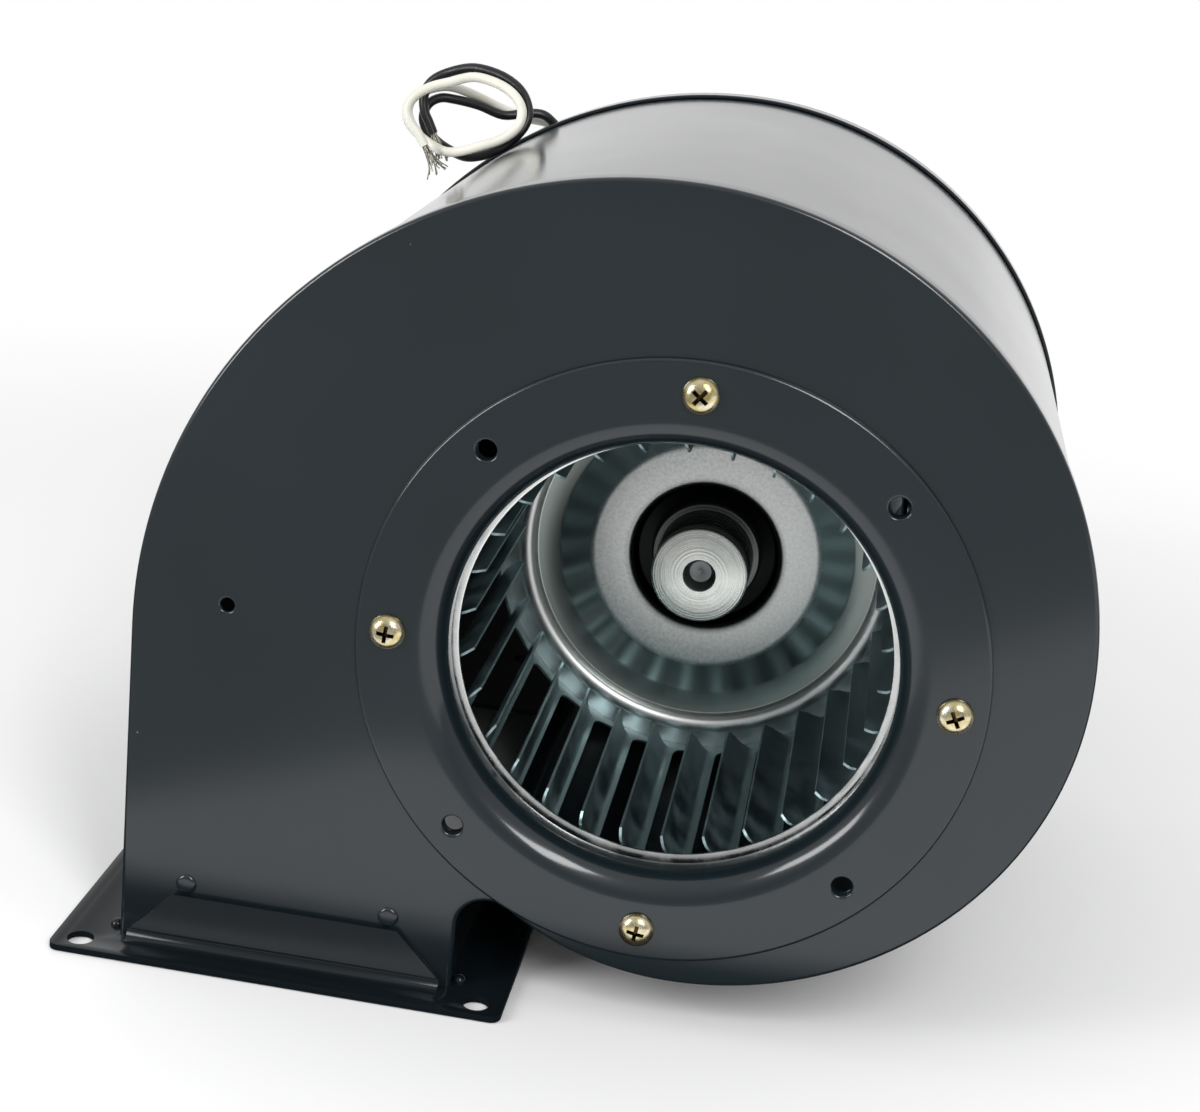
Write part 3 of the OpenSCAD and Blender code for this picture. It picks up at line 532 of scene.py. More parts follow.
class Shape:
    """A mesh under construction, in millimetres from the shaft axis."""

    def __init__(self) -> None:
        """Start empty."""
        self.bm = bmesh.new()

    def bridge(self, near: Loop, far: Loop, ring: bool = True) -> None:
        """Join two rows of vertices with quads.

        Args:
            near: first row.
            far: second row, of equal length.
            ring: whether the rows close on themselves.
        """
        count = len(near)
        for k in range(count if ring else count - 1):
            after = (k + 1) % count
            self.bm.faces.new((near[k], near[after], far[after], far[k]))

    def rows(self, rows: Iterable[Sequence[Point]], ring: bool = True, capped: bool = False) -> list[Loop]:
        """Join rows of points with quads.

        Args:
            rows: rows of equal length.
            ring: whether each row closes on itself.
            capped: whether the first and the last row are closed by a face.

        Returns:
            The vertices of each row.
        """
        made = [[self.bm.verts.new(point) for point in row] for row in rows]
        for near, far in zip(made, made[1:]):
            self.bridge(near, far, ring)
        for end in (made[0], made[-1]) if capped else ():
            self.bm.faces.new(end)
        return made

    def lathe(self, section: Sequence[Flat], sides: int, closed: bool = True,
              centre: Flat = (0.0, 0.0)) -> list[Loop]:
        """Turn a section of radius and depth about an axis along the shaft.

        Args:
            section: points of radius and depth.
            sides: steps round the axis.
            closed: whether the last point joins the first.
            centre: where the axis lies, across and up.

        Returns:
            The vertices of each row.
        """
        points = [*section, section[0]] if closed else section
        return self.rows([[spot(r, t, y, centre) for t in turns(sides)] for r, y in points])

    def circle(self, centre: Flat, radius: float, sides: int) -> Loop:
        """A loop of vertices on the plates' outer face."""
        return [self.bm.verts.new(spot(radius, t, 0.0, centre)) for t in turns(sides)]

    def loop_edges(self, loop: Loop) -> list[bmesh.types.BMEdge]:
        """Edges round a closed loop of vertices, made where they don't exist."""
        return [self.bm.edges.get(pair) or self.bm.edges.new(pair) for pair in zip(loop, loop[1:] + loop[:1])]

    def fill_flat(self, loops: Sequence[Loop], facing: float) -> None:
        """Fill a flat area across the shaft between an outer loop and holes.

        Args:
            loops: the outer loop, then the holes.
            facing: -1 towards the front, 1 towards the rear.
        """
        edges = [edge for loop in loops for edge in self.loop_edges(loop)]
        made = bmesh.ops.triangle_fill(self.bm, use_beauty=True, use_dissolve=False, edges=edges,
                                       normal=(0, facing, 0))["geom"]
        filled = [item for item in made if isinstance(item, bmesh.types.BMFace)]
        for loop in loops[1:]:
            middle = sum((v.co for v in loop), Vector()) / len(loop)
            reach = PLUG_REACH * (loop[0].co - middle).length
            plugs = [f for f in filled if f.is_valid and (f.calc_center_median() - middle).length < reach]
            bmesh.ops.delete(self.bm, geom=plugs, context="FACES_ONLY")

    def on(self, side: Side) -> "Shape":
        """Mirror a shape that is drawn at the front where it belongs to the rear.

        Args:
            side: end of the housing that it belongs to.

        Returns:
            The same shape.
        """
        if side is Side.REAR:
            over = Matrix.Translation((0, DEPTH, 0)) @ Matrix.Scale(-1, 4, (0, 1, 0))
            bmesh.ops.transform(self.bm, matrix=over, verts=self.bm.verts)
        return self

    def mesh(self, matrix: Matrix = TO_FRAME) -> Mesh:
        """Finish the mesh: joined, facing outwards and placed.

        Args:
            matrix: from millimetres to where the mesh belongs.

        Returns:
            The finished mesh.
        """
        bmesh.ops.remove_doubles(self.bm, verts=self.bm.verts, dist=WELD_MM)
        bmesh.ops.recalc_face_normals(self.bm, faces=self.bm.faces)
        self.bm.transform(matrix)
        made = bpy.data.meshes.new("shape")
        self.bm.to_mesh(made)
        self.bm.free()
        return made


def cad_copy(node: str, finish: Finish, body: Body, edge_mm: float = 0.0) -> None:
    """Dress a joined copy of a CAD node with its sharp edges broken.

    Args:
        node: CAD node.
        finish: its real material.
        body: body it rides on.
        edge_mm: width of the broken edges.
    """
    bm = bmesh.new()
    bm.from_mesh(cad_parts[node].data)
    bmesh.ops.remove_doubles(bm, verts=bm.verts, dist=JOIN)
    bmesh.ops.dissolve_limit(bm, angle_limit=math.radians(FLAT_DEG), verts=bm.verts, edges=bm.edges)
    if edge_mm:
        sharp = [e for e in bm.edges if e.is_manifold and e.calc_face_angle() > math.radians(SHARP_DEG)]
        bmesh.ops.bevel(bm, geom=sharp, offset=edge_mm * MM, segments=2, profile=0.5, affect="EDGES",
                        clamp_overlap=True)
    made = bpy.data.meshes.new(node)
    bm.to_mesh(made)
    bm.free()
    show(node + "_dressed", made, finish, body, node)


def ring_repeat() -> Tree:
    """Geometry Nodes that repeat a shape round an axis along the shaft.

    Returns:
        The node group, with inputs Count, Radius, First Angle, Twist, Seed, Centre and Material.
    """
    made = bpy.data.node_groups.get("ring_repeat")
    if made:
        return made
    tree = bpy.data.node_groups.new("ring_repeat", "GeometryNodeTree")
    for name, kind in (("Geometry", "Geometry"), ("Count", "Int"), ("Radius", "Float"),
                       ("First Angle", "Float"), ("Twist", "Float"), ("Seed", "Int"), ("Centre", "Vector"),
                       ("Material", "Material")):
        tree.interface.new_socket(name, in_out="INPUT", socket_type="NodeSocket" + kind)
    tree.interface.new_socket("Geometry", in_out="OUTPUT", socket_type="NodeSocketGeometry")
    given = add(tree, "NodeGroupInput").outputs
    index = add(tree, "GeometryNodeInputIndex")
    share = add(tree, "Math", [index, given["Count"]], operation="DIVIDE")
    turn = add(tree, "Math", [share, 2 * math.pi, given["First Angle"]], operation="MULTIPLY_ADD")
    across = add(tree, "Math", [turn], operation="COSINE")
    up = add(tree, "Math", [turn], operation="SINE")
    way = add(tree, "CombineXYZ", {0: across, 2: up})
    place = add(tree, "VectorMath", [way, given["Radius"], given["Centre"]], operation="MULTIPLY_ADD")
    points = add(tree, "GeometryNodePoints", {"Count": given["Count"], "Position": place})
    own = add(tree, "FunctionNodeRandomValue", {"Seed": given["Seed"]}, data_type="FLOAT")
    spin = add(tree, "Math", [own, given["Twist"]], operation="MULTIPLY")
    about = add(tree, "Math", [spin, turn], operation="SUBTRACT")
    angle = add(tree, "FunctionNodeEulerToRotation", [add(tree, "CombineXYZ", {1: about})])
    copies = add(tree, "GeometryNodeInstanceOnPoints", {
        "Points": points, "Instance": given["Geometry"], "Rotation": angle})
    real = add(tree, "GeometryNodeRealizeInstances", [copies])
    joined = add(tree, "GeometryNodeMergeByDistance", {"Geometry": real, "Distance": JOIN})
    dressed = add(tree, "GeometryNodeSetMaterial", {"Geometry": joined, "Material": given["Material"]})
    add(tree, "NodeGroupOutput", [dressed])
    return tree


def plain(holder: bpy.types.Object) -> Mesh:
    """Turn an object with a live modifier into a plain mesh.

    Args:
        holder: the object, which is removed.

    Returns:
        The mesh as the modifier leaves it.
    """
    graph = bpy.context.evaluated_depsgraph_get()
    made = bpy.data.meshes.new_from_object(holder.evaluated_get(graph))
    holder.modifiers.clear()
    bpy.data.objects.remove(holder)
    return made


def repeated(mesh: Mesh, finish: Finish, **inputs: float | Vector) -> Mesh:
    """Run the ring_repeat nodes on a mesh.

    Args:
        mesh: one copy, drawn from its own place, in metres.
        finish: material given to all copies.
        inputs: values of the nodes' named inputs, with _ for spaces.

    Returns:
        The plain mesh of all copies.
    """
    holder = placed("holder", mesh)
    modifier = holder.modifiers.new("repeat", "NODES")
    modifier.node_group = ring_repeat()
    values = {key.replace("_", " ").title(): value for key, value in inputs.items()}
    values["Material"] = finish.material()
    for item in modifier.node_group.interface.items_tree:
        if item.in_out == "INPUT" and item.name in values:
            modifier[item.identifier] = values[item.name]
    return plain(holder)


def carved(mesh: Mesh, cutter: Mesh) -> Mesh:
    """Cut one mesh out of another.

    Args:
        mesh: what is cut.
        cutter: closed shape that is taken away.

    Returns:
        The plain mesh of what is left.
    """
    blank, knife = placed("blank", mesh), placed("knife", cutter)
    modifier = blank.modifiers.new("cut", "BOOLEAN")
    modifier.object = knife
    modifier.operation = "DIFFERENCE"
    modifier.solver = "EXACT"
    made = plain(blank)
    bpy.data.objects.remove(knife)
    return made


@dataclass
class Studio:
    """Camera at the photograph's angle, pale floor and soft light; places in metres.

    Each band gives two places and the brightness that a reflection sees at each of them.
    """

    focal_px: float = 2202.4
    photo_width_px: float = 1200.0
    sensor_mm: float = 36.0
    nearest: float = 0.01
    camera_place: Point = (0.11514, -0.54126, 0.265)
    camera_turn: Point = (1.24771, -0.10311, 0.14446)
    floor_half: float = 6.0
    floor_drop: float = 0.0003
    floor_grey: float = 0.95
    slant: float = 0.88
    near_band: tuple[float, ...] = (-0.24, -0.205, 0.42, 1.25)
    painted_shadow_front_band: tuple[float, ...] = (-0.126, -0.112, 1.0, 0.03)
    painted_shadow_rear_band: tuple[float, ...] = (0.09, 0.2, 0.03, 0.8)
    sky_band: tuple[float, ...] = (-0.6, 1.0, 0.32, 0.88)
    shadow_reach: Flat = (0.26, 0.6)
    lamps: tuple[tuple[str, Point, float], ...] = (("soft_left", (-0.65, -0.60, 0.39), 4.0),
                                                   ("soft_right", (0.42, -0.74, 0.68), 4.5))
    lamp_size: Flat = (0.26, 0.5)
    lamp_aim: Point = (0.08, -0.05, 0.09)

    def build(self) -> None:
        """Make the camera, the floor, the sky and the lamps."""
        scene = bpy.context.scene
        scene.view_settings.view_transform = "Standard"
        data = bpy.data.cameras.new("photo_camera")
        data.sensor_width = self.sensor_mm
        data.lens = self.focal_px / self.photo_width_px * self.sensor_mm
        data.clip_start = self.nearest
        data.dof.use_dof = False
        scene.camera = placed("photo_camera", data)
        scene.camera.location = self.camera_place
        scene.camera.rotation_euler = self.camera_turn
        self._floor()
        self._sky()
        for name, place, watts in self.lamps:
            self._lamp(name, place, watts)

    def _floor(self) -> None:
        """White floor that keeps the shadow; reflections see it glow, bright in front, with a painted shadow
        under the object.
        """
        bm = bmesh.new()
        bmesh.ops.create_grid(bm, x_segments=1, y_segments=1, size=self.floor_half)
        mesh = bpy.data.meshes.new("floor")
        bm.to_mesh(mesh)
        bm.free()
        material = bpy.data.materials.new("pale_floor")
        tree = emptied(material)
        place = add(tree, "TexCoord").outputs["Object"]
        path = add(tree, "LightPath").outputs
        part = add(tree, "SeparateXYZ", [place]).outputs
        ahead = add(tree, "Math", [part[0], self.slant, part[1]], operation="MULTIPLY_ADD")
        near = add(tree, "MapRange", [ahead, *self.near_band])
        # Painted shadow under the object, between these two bands, seen in reflections
        foot = add(tree, "MapRange", [part[1], *self.painted_shadow_front_band])
        behind = add(tree, "MapRange", [part[1], *self.painted_shadow_rear_band])
        shade = add(tree, "Math", [foot, behind], operation="MAXIMUM")
        lit = add(tree, "Math", [near, shade], operation="MULTIPLY")
        level = add(tree, "Math", [lit, path["Is Camera Ray"]], operation="MAXIMUM")
        away = add(tree, "VectorMath", [place], operation="LENGTH")
        far = add(tree, "MapRange", [away, *self.shadow_reach], interpolation_type="SMOOTHSTEP")
        shown = add(tree, "Math", [far, path["Is Camera Ray"]], operation="MULTIPLY")
        mirrored = add(tree, "Math", [path["Is Glossy Ray"], path["Is Transmission Ray"]],
                       operation="MAXIMUM")
        share = add(tree, "Math", [shown, mirrored], operation="MAXIMUM")
        matte = add(tree, "BsdfDiffuse", [(self.floor_grey, self.floor_grey, self.floor_grey, 1.0)])
        glow = add(tree, "Emission", {"Strength": level})
        add(tree, "OutputMaterial", {"Surface": add(tree, "MixShader", [share, matte, glow])})
        mesh.materials.append(material)
        floor = placed("floor", mesh)
        floor.location.z = -self.floor_drop

    def _sky(self) -> None:
        """White behind and overhead, dim towards the front; plain white to the camera itself."""
        world = bpy.data.worlds.new("studio")
        bpy.context.scene.world = world
        tree = emptied(world)
        way = add(tree, "SeparateXYZ", [add(tree, "TexCoord").outputs["Generated"]]).outputs
        slope = add(tree, "Math", [way[1], way[2]], operation="ADD")
        share = add(tree, "MapRange", [slope, *self.sky_band])
        path = add(tree, "LightPath").outputs
        seen = add(tree, "Math", [path["Is Camera Ray"], path["Is Transmission Ray"]], operation="MAXIMUM")
        level = add(tree, "Math", [share, seen], operation="MAXIMUM")
        back = add(tree, "Background", {"Color": (1, 1, 1, 1), "Strength": level})
        add(tree, "OutputWorld", {"Surface": back})

    def _lamp(self, name: str, place: Point, watts: float) -> None:
        """One tall softbox in front of the object.

        Args:
            name: lamp name.
            place: where it stands.
            watts: its power.
        """
        data = bpy.data.lights.new(name, "AREA")
        data.shape = "RECTANGLE"
        data.size, data.size_y = self.lamp_size
        data.energy = watts
        lamp = placed(name, data)
        lamp.location = place
        lamp.rotation_euler = (Vector(self.lamp_aim) - Vector(place)).to_track_quat("-Z", "Y").to_euler()


@dataclass
class Lead:
    """One motor lead with its stripped end."""

    name: str
    node: str
    route: list[Point]
    finish: Finish
    seed: int
    radius: float = 1.35
    strands: int = 16
    strand_radius: float = 0.17
    strand_spacing: float = 0.22
    strand_root: float = 1.2
    strand_length: Flat = (6.5, 10.0)
    spiral: float = 2.4
    spread: float = 0.34
    curl: float = 0.5

    def build(self) -> None:
        """Sweep the insulation along a smooth line through the route and add the bare strands."""
        path = self._smooth()
        tube = Shape()
        self._sweep(tube, path, self.radius, sides=14)
        piece = show(self.name, tube.mesh(), self.finish, Body.HOUSING, self.node, smooth_deg=50)
        frayed = show(self.name + "_strands", self._fray(path), TINNED, Body.HOUSING, "lead_strands",
                      smooth_deg=60)

    def _smooth(self, steps: int = 5) -> list[Vector]:
        """A curve through every route point, with even tangents.

        Args:
            steps: points on the curve for each point of the route.

        Returns:
            Points along the curve.
        """
        points = [Vector(p) for p in self.route]
        ends = [2 * points[0] - points[1]] + points + [2 * points[-1] - points[-2]]
        path = []
        for before, a, b, after in zip(ends, ends[1:], ends[2:], ends[3:]):
            for t in (k / steps for k in range(steps)):
                path.append(0.5 * (2 * a + (b - before) * t + (2 * before - 5 * a + 4 * b - after) * t * t
                                   + (3 * a - before - 3 * b + after) * t ** 3))
        return path + [points[-1]]

    def _sweep(self, shape: Shape, path: Sequence[Vector], radius: float, sides: int) -> None:
        """Add one closed round tube to a shape.

        Args:
            shape: shape that takes it.
            path: its middle line.
            radius: half its thickness.
            sides: steps round it.
        """
        side = Vector((1, 0, 0))
        rows = []
        for k, point in enumerate(path):
            along = (path[min(k + 1, len(path) - 1)] - path[max(k - 1, 0)]).normalized()
            side = (side - side.dot(along) * along).normalized()
            other = along.cross(side)
            rows.append([point + radius * (math.cos(t) * side + math.sin(t) * other) for t in turns(sides)])
        shape.rows(rows, capped=True)

    def _fray(self, path: Sequence[Vector]) -> Mesh:
        """Tinned strands that spread and curl a little from the cut insulation.

        Args:
            path: middle line of the insulation.

        Returns:
            The mesh of all strands.
        """
        chance = random.Random(self.seed)
        along = (path[-1] - path[-2]).normalized()
        side = along.orthogonal().normalized()
        other = along.cross(side)
        shortest, longest = self.strand_length
        shape = Shape()
        for k in range(self.strands):
            out = math.cos(self.spiral * k) * side + math.sin(self.spiral * k) * other
            start = path[-1] - self.strand_root * along + self.strand_spacing * math.sqrt(k) * out
            spread = self.spread * chance.random() * out
            curl = self.curl * (chance.random() - 0.5) * other + self.curl * (chance.random() - 0.5) * side
            length = shortest + (longest - shortest) * chance.random()
            line = [start + length * t * along + length * t * t * (spread + curl * t)
                    for t in (0, 0.2, 0.4, 0.6, 0.8, 1)]
            self._sweep(shape, line, self.strand_radius, sides=6)
        return shape.mesh()


@dataclass
class ScrollHousing:
    """Side plates, wrap, flange and what joins them; sizes in millimetres."""

    sheet: float = 1.0
    scroll: float = 99.9
    step: float = 15.6
    duct: float = 81.0
    cutoff: float = 7.5
    mouth: float = -87.0
    lip: float = 7.0
    edge: float = 1.1
    flange_edge: float = 0.45
    inlet: float = 59.0
    pilot: float = 1.6
    pilot_distance: float = 101.0
    pilot_round: float = 0.7
    slack: float = 0.05
    rivet_middle: Flat = (-82.8, -71.4)
    rivet_half: float = 24.5

    def build(self) -> None:
        """Make and dress the sheet-metal housing."""
        for side in Side:
            name = side.value + "_plate"
            show(name + "_dressed", self._plate(side), ENAMEL, Body.HOUSING, name)
        show("scroll_wrap_dressed", self._wrap(), ENAMEL, Body.HOUSING, "scroll_wrap", smooth_deg=40)
        cad_copy("outlet_flange", SHADED_FLANGE_ENAMEL, Body.HOUSING, self.flange_edge)
        show("flange_rivets_dressed", self._rivets(), ENAMEL, Body.HOUSING, "flange_rivets", smooth_deg=50)
        cad_copy("corner_welds", SHADED_FLANGE_ENAMEL, Body.HOUSING)

    def _outline(self, inset: float) -> list[Flat]:
        """Front view of the scroll from the mouth's right side round to its left side.

        Args:
            inset: distance inside the plates' outline.

        Returns:
            Points across and up; every inset gives the same number.
        """
        h = self.step / 2
        left = -(h + self.scroll + self.step)
        right = left + self.duct
        nose_x = right + self.cutoff
        nose_reach = self.scroll - 2 * self.step + self.cutoff
        nose_z = -h - math.sqrt(nose_reach ** 2 - (nose_x - h) ** 2)
        meet = math.degrees(math.atan2(-h - nose_z, h - nose_x))
        path = [(right - inset, self.mouth), (right - inset, nose_z - 4)]
        path += arc((nose_x, nose_z), self.cutoff + inset, 180, meet, 16)
        path += arc((h, -h), self.scroll - 2 * self.step - inset, meet + 180, 270, 16)[1:]
        path += arc((h, h), self.scroll - self.step - inset, 270, 360, 48)[1:]
        path += arc((-h, h), self.scroll - inset, 0, 90, 48)[1:]
        path += arc((-h, -h), self.scroll + self.step - inset, 90, 180, 52)[1:]
        return path + [(left + inset, self.mouth)]

    def _bend(self, shape: Shape, section: Sequence[Flat]) -> list[Loop]:
        """Run a section of inset and depth round the scroll's outline."""
        return shape.rows([[(x, y, z) for x, z in self._outline(inset)] for inset, y in section], ring=False)

    def _plate(self, side: Side) -> Mesh:
        """One pressed plate with a rounded edge, turned lip and its holes.

        Args:
            side: end of the housing that it closes.

        Returns:
            The plate's mesh.
        """
        shape = Shape()
        sheet, lip, r = self.sheet, self.lip, self.edge
        outer = [(sheet, lip - 0.3), (sheet - 0.25, lip), (0.25, lip), (0.0, lip - 0.3)]
        front = self._bend(shape, outer + arc((r, r), r, 180, 270, 6))
        back = self._bend(shape, [(sheet, lip - 0.3), (sheet, sheet + 0.5), (sheet + 0.5, sheet)])
        holes = [shape.circle((0, 0), self.inlet, sides=96)]
        holes += [shape.circle(place, TAPPED + 1, sides=20) for place in bolt_places()]
        pilot_lip = [(self.pilot + 1.2, 0.0), (self.pilot + 0.75, 0.0)]
        pilot_lip += arc((self.pilot + self.pilot_round, self.pilot_round), self.pilot_round, -90, -180, 6)
        pilot_lip.append((self.pilot, sheet))
        pilot = shape.lathe(pilot_lip, sides=24, closed=False, centre=(-self.pilot_distance, 0.0))
        shape.fill_flat([front[-1], *holes, pilot[0]], -1)
        far = [[shape.bm.verts.new((v.co.x, sheet, v.co.z)) for v in loop] for loop in holes]
        shape.fill_flat([back[-1], *far, pilot[-1]], 1)
        for near, away in zip(holes, far):
            shape.bridge(near, away)
        return shape.on(side).mesh()

    def _rivets(self) -> Mesh:
        """Low domed rivets above the flange's tabs, with their closed ends inside the plates.

        Returns:
            The mesh of all four.
        """
        dome = [(0.0, -0.7), (1.5, -0.69), (1.95, -0.6), (2.25, -0.43), (2.43, -0.2), (2.5, 0.0), (1.0, 0.0),
                (1.0, 1.0), (2.0, 1.0), (2.0, 1.5), (1.8, 1.7), (0.0, 1.7)]
        pair = Shape()
        for section in (dome, [(r, DEPTH - y) for r, y in dome]):
            pair.lathe(section, sides=32, closed=False)
        across, up = self.rivet_middle
        return repeated(pair.mesh(TO_METRES), ENAMEL, count=2, radius=self.rivet_half * MM, first_angle=0.0,
                        twist=0.0, seed=1, centre=TO_FRAME @ Vector((across, 0, up)))

    def _wrap(self) -> Mesh:
        """The long strip bent round the scroll, with its edges under the lips.

        Returns:
            The strip's mesh.
        """
        shape = Shape()
        front, rear = self.sheet, DEPTH - self.sheet
        outside, inside = self.sheet + self.slack, 2 * self.sheet + self.slack
        section = [(outside, front), (outside, rear), (inside, rear), (inside, front)]
        made = self._bend(shape, section + section[:1])
        for end in (0, -1):
            shape.bm.faces.new([row[end] for row in made[:4]])
        return shape.mesh()


@dataclass
class InletRings:
    """The two inlet rings with their rolled mouths and screws; sizes in millimetres."""

    rim: float = 71.0
    rim_round: float = 0.9
    sheet: float = 1.2
    mouth_round: float = 7.2
    throat: float = 50.8
    throat_depth: float = 9.4
    hole_depth: float = 3.0
    thread_pitch: float = 0.8
    thread_depth: float = 0.2
    bracket_sheet: float = 2.0
    head: float = 4.1
    head_rise: float = 2.6
    shank: float = 2.0
    twist: float = 1.5

    def build(self) -> None:
        """Make and dress the rings and all pan-head screws."""
        for side, seed in ((Side.FRONT, 7), (Side.REAR, 8)):
            end = side.value
            show(end + "_ring_dressed", self._ring(side), ENAMEL, Body.HOUSING, end + "_inlet_ring")
            screws = self._screws(side, -self.sheet, 0.0, seed)
            show(end + "_screws_dressed", screws, YELLOW_ZINC, Body.HOUSING, end + "_ring_screws")
        screws = self._screws(Side.REAR, -self.sheet - self.bracket_sheet, 45.0, 11)
        show("bracket_screws_dressed", screws, YELLOW_ZINC, Body.HOUSING, "bracket_screws")

    def _ring(self, side: Side) -> Mesh:
        """Flat rim with four tapped holes, mouth rolled in to the throat.

        Args:
            side: end of the housing that it sits on.

        Returns:
            The ring's mesh.
        """
        shape = Shape()
        face, deep = -self.sheet, self.throat_depth
        front, back = self.throat, self.throat + self.sheet
        middle = (self.throat + self.mouth_round, self.mouth_round - self.sheet)
        over = [(middle[0] + 0.8, face)] + arc(middle, self.mouth_round, -90, -180, 26)
        edge = [(front, deep - 0.3), (front + 0.3, deep), (back - 0.3, deep), (back, deep - 0.3)]
        under = arc(middle, self.mouth_round - self.sheet, -180, -90, 20)
        roll = shape.lathe(over + edge + under, sides=176, closed=False)
        turn = arc((self.rim - self.rim_round, face + self.rim_round), self.rim_round, 0, -90, 8)
        rim = shape.lathe([(self.rim - 0.2, 0.0), (self.rim, -0.2)] + turn, sides=176, closed=False)
        holes = [self._tapped_hole(shape, place) for place in bolt_places()]
        shape.fill_flat([rim[-1], roll[0], *(mouth for mouth, _ in holes)], -1)
        shape.fill_flat([rim[0], roll[-1], *(neck for _, neck in holes)], 1)
        return shape.on(side).mesh()

    def _tapped_hole(self, shape: Shape, centre: Flat) -> tuple[Loop, Loop]:
        """A threaded hole with a broken edge and a neck behind the sheet.

        Args:
            shape: ring that takes it.
            centre: place in the front view.

        Returns:
            The loops of vertices at the mouth and where the neck leaves the sheet.
        """
        mouth, end, neck = -self.sheet, self.hole_depth - self.sheet, TAPPED + 0.9
        section = [(TAPPED + 1.0, mouth), (TAPPED + 0.55, mouth), (TAPPED + 0.3, mouth + 0.1),
                   (TAPPED + 0.1, mouth + 0.35), (TAPPED, mouth + 0.7)]
        y, pitch = mouth + 0.7, self.thread_pitch
        while y + pitch < end:
            section += [(TAPPED + self.thread_depth, y + pitch / 2), (TAPPED, y + pitch)]
            y += pitch
        section += [(TAPPED, end), (neck, end), (neck, 0.0)]
        made = shape.lathe(section, sides=28, closed=False, centre=centre)
        return made[0], made[-1]

    def _screws(self, side: Side, seat: float, first_deg: float, seed: int) -> Mesh:
        """Four screws round a ring, each turned to its own stop.

        Args:
            side: end of the housing.
            seat: depth of the face under their heads, as at the front.
            first_deg: angle of the first screw.
            seed: seed of their turns.

        Returns:
            The mesh of all four.
        """
        one = self._screw()
        if side is Side.REAR:
            one.transform(Matrix.Scale(-1, 4, (0, 1, 0)))
            one.flip_normals()
            seat = DEPTH - seat
        return repeated(one, YELLOW_ZINC, count=4, radius=BOLT_CIRCLE * MM,
                        first_angle=math.radians(first_deg), twist=self.twist, seed=seed,
                        centre=TO_FRAME @ Vector((0, seat, 0)))

    def _screw(self) -> Mesh:
        """A pan head with a cross recess and a short shank, head towards the front.

        Returns:
            The screw's mesh, about its own seat.
        """
        r, top = self.head, -self.head_rise
        dome = [(0.0, top), (1.2, top + 0.04), (2.2, top + 0.22), (3.0, top + 0.6), (3.6, top + 1.15),
                (r - 0.1, -0.75)]
        rest = [(r, -0.4), (r, -0.05), (r - 0.1, 0.0), (self.shank, 0.0), (self.shank, 8.0), (0.0, 8.4)]
        head = Shape()
        head.lathe(dome + rest, sides=40, closed=False)
        blank = head.mesh(TO_METRES)
        # Half length, half width and depth of a recess arm above the head and at its bottom
        arm = ((2.4, 0.5, -3.4), (1.2, 0.34, -0.3))
        for turn in (0, 90):
            spin = Matrix.Rotation(math.radians(turn), 3, "Y")
            slot = Shape()
            slot.rows([[spin @ Vector((a * x, y, b * z)) for a, b in ((-1, -1), (1, -1), (1, 1), (-1, 1))]
                       for x, z, y in arm], capped=True)
            blank = carved(blank, slot.mesh(TO_METRES))
        self._mark_recess(blank, dome)
        return blank

    def _mark_recess(self, mesh: Mesh, dome: Sequence[Flat]) -> None:
        """Store how far each vertex lies under the head's dome, for the painted shade in the cross.

        Args:
            mesh: one screw, in metres.
            dome: radius and depth along the head's top, in millimetres.
        """
        deep = mesh.attributes.new("recess", "FLOAT", "POINT").data
        for vert, value in zip(mesh.vertices, deep):
            x, y, z = vert.co / MM
            r = math.hypot(x, z)
            for (r0, y0), (r1, y1) in zip(dome, dome[1:]):
                if r0 <= r <= r1 and y < -0.2:
                    value.value = min(1.0, max(0.0, y - y0 - (y1 - y0) * (r - r0) / (r1 - r0)))


